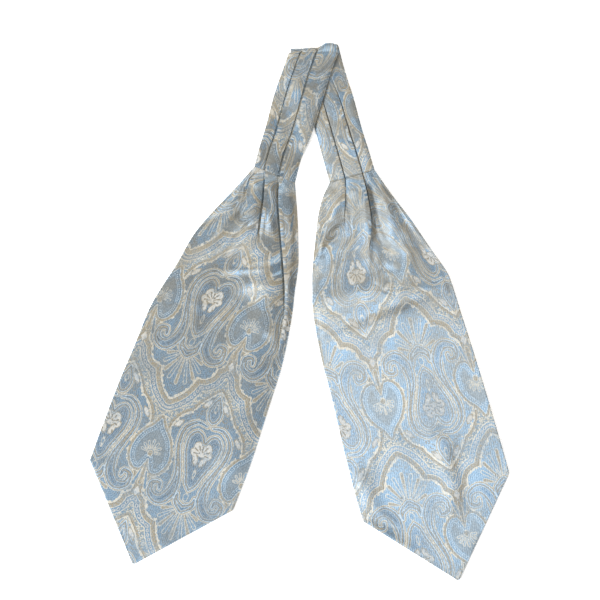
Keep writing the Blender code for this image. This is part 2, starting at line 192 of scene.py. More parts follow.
@dataclass(frozen=True)
class Weave:
    """Where the woven repeat lies on a length of silk.

    turn is the angle of the grain from straight down, towards +X. middle is the cloth's centre line
    across the grain, flower_across and flower_along are a flower's place in the same frame, and
    along is 1 where the repeat runs towards the blade's point and -1 where it runs to the neck.
    """

    turn: float
    middle: float
    flower_across: float
    flower_along: float
    along: int

    def across_of(self, x: Array, y: Array) -> Array:
        """Distance across the grain of places on the table."""
        return x * cos(self.turn) + y * sin(self.turn)

    def along_of(self, x: Array, y: Array) -> Array:
        """Distance along the grain, towards the blade's point."""
        return x * sin(self.turn) - y * cos(self.turn)

    def flat(self, x: Array, y: Array) -> Array:
        """Places on flat silk, across and along the grain, for places on the table."""
        return np.stack([self.across_of(x, y), self.along_of(x, y)], -1)


class Tone(Enum):
    """The fields of the chart, each a distance in millimetres that is below nought inside."""

    FRAME = "frame"
    BORDER = "border"
    BORDER_RUN = "border_run"
    PAISLEY = "paisley"
    PAISLEY_RUN = "paisley_run"
    SPADE = "spade"
    SPADE_RUN = "spade_run"
    FAN_FAWN = "fan_fawn"
    FAN_PALE = "fan_pale"
    BLOOM = "bloom"
    PISTIL = "pistil"


@dataclass(frozen=True)
class Knot:
    """A corner of an outline. bow is how far the side to the next corner bows out, as a share of it."""

    x: float
    y: float
    bow: float = 0.0


@dataclass(frozen=True)
class Stem:
    """A point on the centre line of a curling shape, and half the shape's width there."""

    x: float
    y: float
    half: float


@dataclass(frozen=True)
class Petal:
    """A petal that widens towards its end, with half its width at either."""

    start: Place
    end: Place
    half: float
    wide: float


@dataclass(frozen=True)
class Lobe:
    """A drop: an ellipse with its half sizes, and its turn in degrees."""

    x: float
    y: float
    across: float
    along: float
    turn: float = 0.0


# ---------------------------------------------------------------------------------------------------
# Curves, sections and smooth shares


def smooth(share: Array | float) -> Array:
    """0 to 1 with no corner at either end."""
    share = np.clip(share, 0.0, 1.0)
    return share * share * (3 - 2 * share)


def mix(start: Array | float, end: Array | float, share: Array | float) -> Array:
    """Part of the way from start to end."""
    return start + (end - start) * share


def bell(away: Array, reach: Array | float) -> Array:
    """1 at no distance and a half at the reach."""
    return 0.5 ** ((away / reach) ** 2)


def through(points: Array, counts: list[int]) -> Array:
    """A smooth curve through rows of numbers.

    Args:
        points: The rows that the curve passes.
        counts: How many steps lie between each two of them.

    Returns:
        The rows of the finer curve, both ends included.
    """
    rows = np.asarray(points, float)
    padded = np.vstack([rows[0], rows, rows[-1]])
    found = []
    for i, count in enumerate(counts):
        a, b, c, d = padded[i : i + 4]
        share = np.arange(count)[:, None] / count
        bend = 2 * a - 5 * b + 4 * c - d + share * (3 * (b - c) + d - a)
        found.append(b + share / 2 * (c - a + share * bend))
    return np.vstack([*found, rows[-1:]])


def curved(points: Path, steps: int = 6) -> Array:
    """A smooth curve through a few points, with the same steps between each two."""
    return through(np.array(points, float), [steps] * (len(points) - 1))


def steps_of(points: Array) -> Array:
    """How far each point of a path lies from the one before."""
    return np.hypot(*np.diff(points, axis=0).T)


def run_of(steps: Array) -> Array:
    """How far each point of a path lies from the first."""
    return np.concatenate([[0.0], np.cumsum(steps)])


def middle_of(sections: Array) -> Array:
    """The middle of each section."""
    return (sections[..., :2] + sections[..., 2:4]) / 2


def width_of(sections: Array) -> Array:
    """Each section's length."""
    return np.hypot(sections[:, 2] - sections[:, 0], sections[:, 3] - sections[:, 1])


def run_along(sections: Array) -> Array:
    """How far each section lies from the first one, along their middles."""
    return run_of(steps_of(middle_of(sections)))


def places(sections: Array, across: Array) -> tuple[Array, Array]:
    """Where points of the sections lie on the table.

    Args:
        sections: The sections.
        across: Places across each of them.

    Returns:
        Their places across and up the table.
    """
    share = across / width_of(sections)[:, None]
    x = mix(sections[:, :1], sections[:, 2:3], share)
    y = mix(sections[:, 1:2], sections[:, 3:4], share)
    return x, y


def finer(rows: tuple[Section, ...], cell: float) -> Array:
    """Fill in the sections between those of a table.

    Args:
        rows: The table's sections.
        cell: How far apart the sections may lie.

    Returns:
        Each section's ends and its puff.
    """
    table = np.array([astuple(row) for row in rows])
    return through(table, [max(2, ceil(step / cell)) for step in steps_of(middle_of(table))])


@dataclass(frozen=True)
class Plot:
    """Places that shapes are measured from: x across and y along, or up the table."""

    x: Array
    y: Array

    def fill(self, value: float) -> Array:
        """The same value at every place."""
        return np.full(np.shape(self.x), value)

    def nearest(self, path: Array) -> tuple[Array, Array]:
        """Measure the distance from an open path.

        Args:
            path: The path's points.

        Returns:
            The distance, and how far along the path its nearest point lies.
        """
        away, run = self.fill(np.inf), self.fill(0.0)
        start = 0.0
        for (ax, ay), (bx, by) in zip(path[:-1, :2], path[1:, :2]):
            dx, dy = bx - ax, by - ay
            length = max(hypot(dx, dy), 1e-9)
            share = np.clip(((self.x - ax) * dx + (self.y - ay) * dy) / length**2, 0.0, 1.0)
            found = np.hypot(self.x - mix(ax, bx, share), self.y - mix(ay, by, share))
            closer = found < away
            away = np.where(closer, found, away)
            run = np.where(closer, start + share * length, run)
            start += length
        return away, run

    def raised(self, ridges: tuple[Ridge, ...]) -> Array:
        """Add up soft ridges and troughs.

        Args:
            ridges: The ridges.

        Returns:
            Their height at each place.
        """
        total = self.fill(0.0)
        for ridge in ridges:
            path = curved(ridge.path)
            away, run = self.nearest(path)
            share = run / steps_of(path).sum()
            fade = smooth(share / RIDGE_STARTS) * smooth((1 - share) / RIDGE_ENDS)
            total += ridge.height * fade * bell(away, ridge.width)
        return total

    def waves(self, length: float, seed: int, count: int = 5) -> Array:
        """Uneven soft waves.

        Args:
            length: The length of a wave, on the whole.
            seed: Seed of the waves' directions.
            count: How many waves are added up.

        Returns:
            The height at each place, from -1 to 1.
        """
        random = np.random.default_rng(seed)
        total = self.fill(0.0)
        for _ in range(count):
            turn, phase = random.uniform(0, 2 * pi, 2)
            pitch = 2 * pi / (length * random.uniform(0.7, 1.5))
            total += np.sin(pitch * (self.x * cos(turn) + self.y * sin(turn)) + phase)
        return total / count

    def outlined(self, half: Array) -> tuple[Array, Array]:
        """Measure the distance from a mirrored outline.

        Args:
            half: The points of its half at x of nought or more.

        Returns:
            The distance, below nought inside, and the run along the outline.
        """
        away, run = self.nearest(half)
        whole = np.vstack([half, half[::-1] * (-1, 1)])
        inside = np.zeros(np.shape(self.x), bool)
        for (ax, ay), (bx, by) in zip(whole, np.roll(whole, -1, axis=0)):
            if ay != by:
                crosses = (ay > self.y) != (by > self.y)
                inside ^= crosses & (self.x < ax + (self.y - ay) * (bx - ax) / (by - ay))
        return np.where(inside, -away, away), run

    def stemmed(self, stems: tuple[Stem, ...]) -> tuple[Array, Array]:
        """Measure the distance from a curling shape.

        Args:
            stems: The points of its centre line.

        Returns:
            The distance, below nought inside, and the run along the centre line.
        """
        points = curved(tuple(astuple(stem) for stem in stems))
        away, run = self.nearest(points)
        return away - np.interp(run, run_of(steps_of(points[:, :2])), points[:, 2]), run

    def lobes(self, lobes: tuple[Lobe, ...]) -> Array:
        """Measure the distance from a few ellipses.

        Args:
            lobes: The ellipses.

        Returns:
            The distance, below nought inside.
        """
        found = self.fill(np.inf)
        for lobe in lobes:
            turn = radians(lobe.turn)
            dx, dy = self.x - lobe.x, self.y - lobe.y
            u, v = dx * cos(turn) + dy * sin(turn), dy * cos(turn) - dx * sin(turn)
            reach = np.hypot(u / lobe.across, v / lobe.along)
            found = np.minimum(found, (reach - 1) * min(lobe.across, lobe.along))
        return found

    def petals(self, petals: list[Petal]) -> Array:
        """Measure the distance from a few petals.

        Args:
            petals: The petals.

        Returns:
            The distance, below nought inside.
        """
        found = self.fill(np.inf)
        for petal in petals:
            away, run = self.nearest(np.array([petal.start, petal.end]))
            length = hypot(petal.end[0] - petal.start[0], petal.end[1] - petal.start[1])
            half = mix(petal.half, petal.wide, (run / length) ** PETAL_FULL)
            found = np.minimum(found, away - half)
        return found


# ---------------------------------------------------------------------------------------------------
# The woven repeat


@dataclass(frozen=True)
class Repeat:
    """One repeat of the woven design, drawn about a flower at its origin.

    y runs along the silk. Every shape is drawn for x of nought or more and mirrored, and the whole
    is set again half a repeat across and half along.
    """

    frame: tuple[Knot, ...] = (
        Knot(0, -66, 0.05), Knot(22, -38, 0.10), Knot(37, -21, 0.20), Knot(26, 8, -0.02),
        Knot(43, 46, 0.24), Knot(37, 62, 0.22), Knot(20, 78, 0.10), Knot(0, 107),
    )
    heart: Path = (
        (0, -12), (4, -19), (11, -21.5), (17.4, -14), (17.2, -1), (13, 12), (8.6, 23), (6, 32), (0, 39)
    )
    hook: tuple[Stem, ...] = (
        Stem(3, -28, 0.6), Stem(14, -29, 1.3), Stem(24, -19, 1.7), Stem(25, -3, 1.9), Stem(20, 13, 2.2),
        Stem(15.5, 29, 3.2), Stem(16.5, 45, 5.0), Stem(25, 56, 5.0), Stem(35.5, 53, 3.4),
        Stem(37, 43, 2.2), Stem(30, 40.5, 1.6), Stem(28.5, 46, 1.0),
    )
    bowl: tuple[Stem, ...] = (Stem(9, 44, 0.6), Stem(8, 52, 2.6), Stem(0, 58, 3.8))
    bud: Path = ((0, -61), (4.5, -52), (7, -43), (4.5, -35), (0, -32))
    spade: Path = (
        (0, -35), (5, -26), (13, -17), (18.5, -5), (19, 8), (13, 18), (6, 19), (2.5, 12), (0, 7)
    )
    spade_along: float = 14.0
    eye_along: float = 2.0
    eye_round: float = 2.6
    eye_turns: tuple[float, ...] = (0, 24, 48, 76)
    eye_reach: tuple[float, ...] = (13, 12, 11, 9.5)
    eye_starts: float = 0.42  # the share of its reach at which a lash of the eye starts
    stem: Petal = Petal((0, 9), (0, 33), 1.0, 2.2)
    leaf: Petal = Petal((3, 20), (6.5, 36), 0.9, 1.9)
    fan_base: float = 55.0
    fan_starts: float = 9.0
    fan_turns: tuple[float, ...] = (0, 16, 32, 49, 67)
    fan_reach: tuple[float, ...] = (34, 32, 29, 25, 20)
    border_from: int = 30  # the border starts at the frame's waist, this many points along
    flower: tuple[Lobe, ...] = (
        Lobe(0, -3, 5.6, 5.6), Lobe(5.6, -6.8, 3.4, 4.6, -20), Lobe(7.8, 0.4, 2.6, 3.8, 40),
        Lobe(4.0, 7.2, 2.2, 4.6, 18),
    )
    stamens: Path = ((0.0, -7.6), (4.2, -7.6), (7.4, -4.2), (7.4, 0.8))
    stamen_starts: float = 0.25  # the share of its reach at which a stamen starts
    sepal: Petal = Petal((4.6, 6.5), (5.6, 10.5), 0.3, 0.8)
    flames: tuple[Lobe, ...] = (Lobe(9.5, -50, 2.0, 5.6, -38), Lobe(31.5, -22, 2.0, 4.6, -40))
    drops: tuple[Lobe, ...] = (Lobe(0, 21, 1.3, 4.8), Lobe(0, 45.5, 2.6, 4.2), Lobe(0, -48, 1.8, 4.4))
    rings: tuple[Lobe, ...] = (
        Lobe(12.0, -39.5, 2.3, 2.3), Lobe(15.5, -34.5, 1.8, 1.8), Lobe(10.5, -45.5, 1.7, 1.7),
        Lobe(6.0, 64.5, 1.6, 1.6),
    )
    ring_line: float = 0.45  # half the width of a ring's line

    def chart(self) -> dict[Tone, Array]:
        """Chart half a repeat across and a whole one along.

        Returns:
            The values of each field.
        """
        across, along = REPEAT_WIDE / 2, REPEAT_LONG / 2
        xs = np.arange(0.0, across + CHART_STEP / 2, CHART_STEP)
        ys = np.arange(-along, along + CHART_STEP / 2, CHART_STEP)
        x, y = np.meshgrid(xs, ys)
        found: dict[Tone, Array] = {}
        for shift_x, shift_y in ((0, 0), (across, -along), (across, along)):
            self._add(found, self._cell(Plot(np.abs(x - shift_x), y - shift_y)))
        for shift_x, shift_y in ((across, 0), (0, -along), (0, along)):
            self._add(found, self._between(Plot(np.abs(x - shift_x), y - shift_y - self.spade_along)))
        return found

    @staticmethod
    def _add(found: dict[Tone, Array], other: dict[Tone, Array]) -> None:
        """Lay another copy of the design over those found so far.

        Args:
            found: The fields found so far, which are changed.
            other: The fields of the other copy.
        """
        runs = {Tone.BORDER: Tone.BORDER_RUN, Tone.PAISLEY: Tone.PAISLEY_RUN, Tone.SPADE: Tone.SPADE_RUN}
        for tone in [t for t in other if t not in runs.values()]:
            closer = other[tone] < found.get(tone, np.inf)
            if tone in runs:
                before = found.get(runs[tone], np.zeros(1))
                found[runs[tone]] = np.where(closer, other[runs[tone]], before)
            found[tone] = np.where(closer, other[tone], found.get(tone, np.inf))

    def _cell(self, plot: Plot) -> dict[Tone, Array]:
        """The ogee frame with its heart, hooks, bud and fan.

        Args:
            plot: Places from the middle of this part.

        Returns:
            The fields of this part.
        """
        outline = self._bowed()
        frame, _ = plot.outlined(outline)
        border, border_run = plot.nearest(outline[self.border_from :])
        paisley, run = plot.outlined(curved(self.heart))
        shapes = (plot.outlined(curved(self.bud)), plot.stemmed(self.hook), plot.stemmed(self.bowl))
        for other, other_run in shapes:
            run = np.where(other < paisley, other_run, run)
            paisley = np.minimum(paisley, other)
        fawn, pale = self._fan(plot)
        return {
            Tone.FRAME: frame,
            Tone.BORDER: np.where(frame < 0, OUTSIDE, border),
            Tone.BORDER_RUN: border_run,
            Tone.PAISLEY: paisley,
            Tone.PAISLEY_RUN: run,
            Tone.FAN_FAWN: fawn,
            Tone.FAN_PALE: np.minimum(pale, plot.lobes(self.drops)),
            Tone.BLOOM: np.minimum(plot.lobes(self.flower), plot.lobes(self.flames)),
            Tone.PISTIL: self._pistil(plot),
        }

    def _between(self, plot: Plot) -> dict[Tone, Array]:
        """The spade between two frames, with the eye inside it and its stem.

        Args:
            plot: Places from the middle of this part.

        Returns:
            The fields of this part.
        """
        spade, run = plot.outlined(curved(self.spade))
        lashes = []
        for turn, reach in zip(self.eye_turns, self.eye_reach):
            x, y = reach * sin(radians(turn)), -reach * cos(radians(turn))
            start = (x * self.eye_starts, self.eye_along + y * self.eye_starts)
            lashes.append(Petal(start, (x, self.eye_along + y), 0.5, 1.2))
        diamond = (plot.x / 3.2 + np.abs(plot.y - 42) / 5.5 - 1) * 2.8
        core = np.hypot(plot.x, (plot.y - self.eye_along) * 0.8) - self.eye_round
        return {
            Tone.SPADE: spade,
            Tone.SPADE_RUN: run,
            Tone.FAN_FAWN: np.minimum(plot.petals([self.stem]), core),
            Tone.FAN_PALE: plot.petals([self.leaf, *lashes]),
            Tone.BLOOM: diamond,
            Tone.PISTIL: plot.fill(np.inf),
        }

    def _fan(self, plot: Plot) -> tuple[Array, Array]:
        """The fan, with fawn petals and pale ones between them.

        Args:
            plot: Places from the middle of the design.

        Returns:
            The distance from the fawn petals, and from the pale ones.
        """
        petals = []
        for turn, reach in zip(self.fan_turns, self.fan_reach):
            dx, dy = sin(radians(turn)), cos(radians(turn))
            start = (self.fan_starts * dx, self.fan_base + self.fan_starts * dy)
            petals.append(Petal(start, (reach * dx, self.fan_base + reach * dy), 0.5, 1.8))
        return plot.petals(petals[::2]), plot.petals(petals[1::2])

    def _pistil(self, plot: Plot) -> Array:
        """The flower's fawn stamens, and the rings beside the bud and the fan.

        Args:
            plot: Places from the middle of the design.

        Returns:
            The distance from them.
        """
        start = self.stamen_starts
        stamens = [Petal((start * x, start * y), (x, y), 0.25, 0.85) for x, y in self.stamens]
        rings = np.abs(plot.lobes(self.rings)) - self.ring_line
        return np.minimum(rings, plot.petals([self.sepal, *stamens]))

    def _bowed(self) -> Array:
        """The frame's outline, each side of it bowed out.

        Returns:
            The outline's points.
        """
        found = []
        share = np.arange(10) / 10
        for one, two in zip(self.frame, self.frame[1:]):
            out = 4 * one.bow * share * (1 - share)
            dx, dy = two.x - one.x, two.y - one.y
            found.append(np.stack([one.x + dx * share + dy * out, one.y + dy * share - dx * out], 1))
        return np.vstack([*found, [[self.frame[-1].x, self.frame[-1].y]]])


class Loom:
    """The chart of the repeat, worked out once and read at any place on the silk."""

    def __init__(self, repeat: Repeat) -> None:
        """Work out the chart."""
        self.chart = repeat.chart()

    def read(self, across: Array, along: Array) -> dict[Tone, Array]:
        """The fields of the design at places on the silk.

        Args:
            across: Distance across the silk from a flower, in millimetres.
            along: Distance along the silk from it.

        Returns:
            Each field's value at each place.
        """
        half_wide, half_long = REPEAT_WIDE / 2, REPEAT_LONG / 2
        column = np.abs((across + half_wide) % REPEAT_WIDE - half_wide) / CHART_STEP
        row = ((along + half_long) % REPEAT_LONG) / CHART_STEP
        found = {}
        for tone, values in self.chart.items():
            i = np.clip(row.astype(int), 0, values.shape[0] - 2)
            j = np.clip(column.astype(int), 0, values.shape[1] - 2)
            u, v = column - j, row - i
            low = mix(values[i, j], values[i, j + 1], u)
            high = mix(values[i + 1, j], values[i + 1, j + 1], u)
            found[tone] = mix(low, high, v)
        return found


# ---------------------------------------------------------------------------------------------------
# Pleated sections


@dataclass(frozen=True)
class LipPoint:
    """A point of a fold edge's lip, as shares of the lip's half width and of the edge's rise."""

    across: float
    height: float
    plain: float  # its place across where the edge has run out
    hidden: float  # how much of the cloth hidden in the pleat lies before it


# From the cloth beside a fold edge, down into the groove and up over the roll to the strip on top.
LIP = (
    LipPoint(-1.16, 0.0, -0.5, 0.0),
    LipPoint(-1.11, -0.05, -0.44, 0.0),
    LipPoint(-1.06, -0.25, -0.37, 0.0),
    LipPoint(-1.0, -0.7, -0.3, 0.0),
    LipPoint(-0.72, -1.0, -0.22, 0.02),
    LipPoint(-0.1, -0.9, -0.14, 0.06),
    LipPoint(0.1, -0.2, -0.06, 0.5),
    LipPoint(-0.06, 0.3, 0.02, 0.94),
    LipPoint(-0.27, 0.5, 0.1, 0.98),
    LipPoint(-0.36, 0.74, 0.18, 1.0),
    LipPoint(-0.3, 0.965, 0.26, 1.0),
    LipPoint(-0.1, 1.0, 0.34, 1.0),
    LipPoint(0.3, 1.0, 0.42, 1.0),
    LipPoint(0.77, 1.0, 0.5, 1.0),
)


@dataclass(frozen=True)
class Column:
    """A column of points across a stack of sections."""

    base: Array  # its place across each section on cloth without folds
    across: Array  # and its place on the folded cloth
    owner: int  # the fold edge whose lip it is on, or -1
    height: float  # its height there, as a share of the edge's rise
    hidden: float  # how many pleats' hidden cloth lies before it


@dataclass
class Pleats:
    """The fold edges that cross a stack of sections, and the columns drawn over them.

    Args:
        width: Each section's length.
        at: Each fold edge's place across each section.
        rise: Each fold edge's height at each section.
        faces: The side that each edge looks to.
        margin: From a section's end to its first and last column.
        cell: Width of a column between two edges, where they are farthest apart.
        takes: Each edge's share of the silk that the pleats hide.
        tucks: How far the cloth beside each edge dips, as a share of the edge's height.
    """

    width: Array
    at: Array
    rise: Array
    faces: tuple[Side, ...]
    margin: Array
    cell: float
    takes: tuple[float, ...]
    tucks: tuple[float, ...]
    base: Array = field(init=False)
    across: Array = field(init=False)
    lift: Array = field(init=False)
    hidden: Array = field(init=False)

    def __post_init__(self) -> None:
        """Space the edges, lay out the columns and raise them."""
        stops = self._spaced()
        self.at = np.stack(stops[1:-1], 1)
        columns = self._columns(stops)
        self.base = np.stack([column.base for column in columns], 1)
        self.across = np.stack([column.across for column in columns], 1)
        self.hidden = np.array([column.hidden for column in columns])
        self.lift = self._lifted(stops, columns)

    def _spaced(self) -> list[Array]:
        """Keep the fold edges apart.

        Returns:
            Where each strip between two edges starts, and where the last one ends.
        """
        edges = len(self.faces)
        least = np.minimum(PLEAT_LEAST, self.width / (edges + SPARE_STRIPS))
        stops = [np.zeros_like(self.width), *self.at.T, self.width]
        for i in range(1, edges + 1):
            stops[i] = np.maximum(stops[i], stops[i - 1] + least)
        for i in range(edges, 0, -1):
            stops[i] = np.minimum(stops[i], stops[i + 1] - least)
        return stops

    def _columns(self, stops: list[Array]) -> list[Column]:
        """Lay out the columns, left to right.

        Args:
            stops: Where each strip starts, and where the last one ends.

        Returns:
            The columns.
        """
        edges = len(self.faces)
        ends = [self.margin, *stops[1:-1], self.width - self.margin]
        gaps = np.stack([b - a for a, b in zip(ends, ends[1:])])
        scale = np.minimum(1.0, gaps.min(axis=0) / PLEAT_LEAST)
        found = []
        for i in range(edges + 1):
            start = ends[i] + (LIP_CLEAR * scale if i > 0 else 0.0)
            end = ends[i + 1] - (LIP_CLEAR * scale if i < edges else 0.0)
            count = max(STRIP_COLUMNS, ceil(float((end - start).max()) / self.cell) + 1)
            for k in range(count):
                place = mix(start, end, k / (count - 1))
                found.append(Column(place, place, -1, 0.0, float(i)))
            if i < edges:
                found += self._lip(i, scale)
        return found

    def _lip(self, index: int, scale: Array) -> list[Column]:
        """Lay out the columns over one fold edge, left to right.

        Args:
            index: The edge's number.
            scale: How much narrower than usual the lip is at each section.

        Returns:
            The columns.
        """
        side, at = self.faces[index], self.at[:, index]
        crisp = smooth((self.rise[:, index] - CRISP_FROM) / (CRISP_FULL - CRISP_FROM))
        half = -side.value * LIP_HALF * scale
        found = []
        for p in LIP if side is Side.LEFT else LIP[::-1]:
            hidden = p.hidden if side is Side.LEFT else 1 - p.hidden
            pressed = SHUT_GAPE if side is Side.RIGHT and p.across < GAPE_FROM else 1.0
            across = at + half * mix(p.plain, p.across * pressed, crisp)
            found.append(Column(at + half * p.plain, across, index, p.height, index + hidden))
        return found

    def _lifted(self, stops: list[Array], columns: list[Column]) -> Array:
        """Raise the strips and the lips, and dip the cloth beside the fold edges.

        Args:
            stops: Where each strip starts, and where the last one ends.
            columns: The columns.

        Returns:
            Each column's height over the cloth without folds.
        """
        owners = np.array([column.owner for column in columns])
        heights = np.array([column.height for column in columns])
        lift = np.zeros_like(self.base)
        for k, side in enumerate(self.faces):
            reach = stops[k + 2] - stops[k + 1] if side is Side.LEFT else stops[k + 1] - stops[k]
            beyond = (self.at[:, k : k + 1] - self.base) * side.value
            rise = self.rise[:, k : k + 1]
            strip = rise * (1 - smooth(np.maximum(beyond, 0.0) / reach[:, None]) ** STRIP_FALL)
            dip = rise * self.tucks[k] * bell(beyond, TUCK_REACH)
            lift += np.where(owners == k, strip * heights, np.where(beyond > 0, strip, 0.0))
            lift -= np.where(beyond < 0, dip, 0.0)
        return lift

    def hidden_share(self) -> Array:
        """How the cloth that the pleats hide is shared out.

        Returns:
            The share of it that lies before each column of each section.
        """
        edges = len(self.faces)
        weight = self.rise * np.array(self.takes)
        weight = weight / (weight.sum(axis=1, keepdims=True) + UNHIDDEN)
        spread = 1 - weight.sum(axis=1, keepdims=True)
        share = spread * self.base / self.width[:, None]
        for k in range(edges):
            share = share + weight[:, k : k + 1] * np.clip(self.hidden - k, 0.0, 1.0)
        return share


# ---------------------------------------------------------------------------------------------------
# Meshes


class Cloth:
    """A mesh of silk put together from grids, with the cloth's own coordinates at each point."""

    def __init__(self, name: str) -> None:
        """Start an empty piece.

        Args:
            name: The piece's name.
        """
        self.name = name
        self.points: list[Array] = []
        self.silk: list[Array] = []
        self.faces: list[Array] = []
        self.count = 0

    def grid(self, points: Array, silk: Array, flip: bool = False, around: bool = False) -> Array:
        """Add a grid of points.

        Args:
            points: Rows of points, in millimetres.
            silk: The place of each point across and along the silk.
            flip: Whether the faces look the other way.
            around: Whether each row is a closed ring.

        Returns:
            The number of each point.
        """
        rows, columns = points.shape[:2]
        ids = self.count + np.arange(rows * columns).reshape(rows, columns)
        self.points.append(points.reshape(-1, 3))
        self.silk.append(silk.reshape(-1, 2))
        self.count += rows * columns
        here, beside = (ids, np.roll(ids, -1, axis=1)) if around else (ids[:, :-1], ids[:, 1:])
        corners = [here[:-1], here[1:], beside[1:], beside[:-1]]
        self.faces.append(np.stack(corners[::-1] if flip else corners, -1).reshape(-1, 4))
        return ids

    def close(self, one: Array, two: Array, flip: bool = False) -> None:
        """Join two rims of unlike counts with triangles.

        Args:
            one: Numbers of the points of one rim.
            two: Numbers of the points of the other, running the same way.
            flip: Whether the faces look the other way.
        """
        i = j = 0
        found = []
        while i < len(one) - 1 or j < len(two) - 1:
            ahead = j == len(two) - 1 or (i + 1) / (len(one) - 1) <= (j + 1) / (len(two) - 1)
            if ahead and i < len(one) - 1:
                found.append((one[i], one[i + 1], two[j]))
                i += 1
            else:
                found.append((one[i], two[j + 1], two[j]))
                j += 1
        self.faces.append(np.array(found)[:, ::-1] if flip else np.array(found))

    def line(self, one: Array, two: Array, flip: bool) -> None:
        """Join the four sides of two grids that lie one over the other.

        Args:
            one: Numbers of the points of the finer grid.
            two: Numbers of the points of the other, laid out the same way.
            flip: Whether the faces look the other way.
        """
        self.close(one[:, 0], two[:, 0], flip)
        self.close(one[:, -1], two[:, -1], not flip)
        self.close(one[0], two[0], not flip)
        self.close(one[-1], two[-1], flip)

    def fan(self, ring: Array, flip: bool) -> None:
        """Close the end of a tube of rings with one face."""
        self.faces.append(ring[None, ::-1] if flip else ring[None, :])

    def build(self, loom: Loom, weave: Weave, material: bpy.types.Material) -> bpy.types.Object:
        """Make the object, with the woven design read at its points.

        Args:
            loom: The chart of the woven repeat.
            weave: Where the repeat lies on this length of silk.
            material: The silk.

        Returns:
            The finished object.
        """
        points = np.vstack(self.points) * MM
        silk = np.vstack(self.silk)
        mesh = bpy.data.meshes.new(self.name)
        mesh.from_pydata(points.tolist(), [], [f for faces in self.faces for f in faces.tolist()])
        mesh.validate()
        mesh.shade_smooth()
        mesh.set_sharp_from_angle(angle=radians(SHARP_FROM))
        across, along = (silk - (weave.flower_across, weave.flower_along)).T
        fields = loom.read(across, along * weave.along)
        for tone, values in fields.items():
            attribute = mesh.attributes.new(tone.value, "FLOAT", "POINT")
            attribute.data.foreach_set("value", values.astype(np.float32))
        corners = np.empty(len(mesh.loops), np.int32)
        mesh.loops.foreach_get("vertex_index", corners)
        flat = (silk[corners] * MM).astype(np.float32)
        mesh.uv_layers.new(name="silk").data.foreach_set("uv", flat.ravel())
        mesh.materials.append(material)
        return linked(self.name, mesh)


def linked(name: str, data: bpy.types.ID) -> bpy.types.Object:
    """Make an object of some data and put it in the scene."""
    made = bpy.data.objects.new(name, data)
    bpy.context.scene.collection.objects.link(made)
    return made


# ---------------------------------------------------------------------------------------------------
# Blades


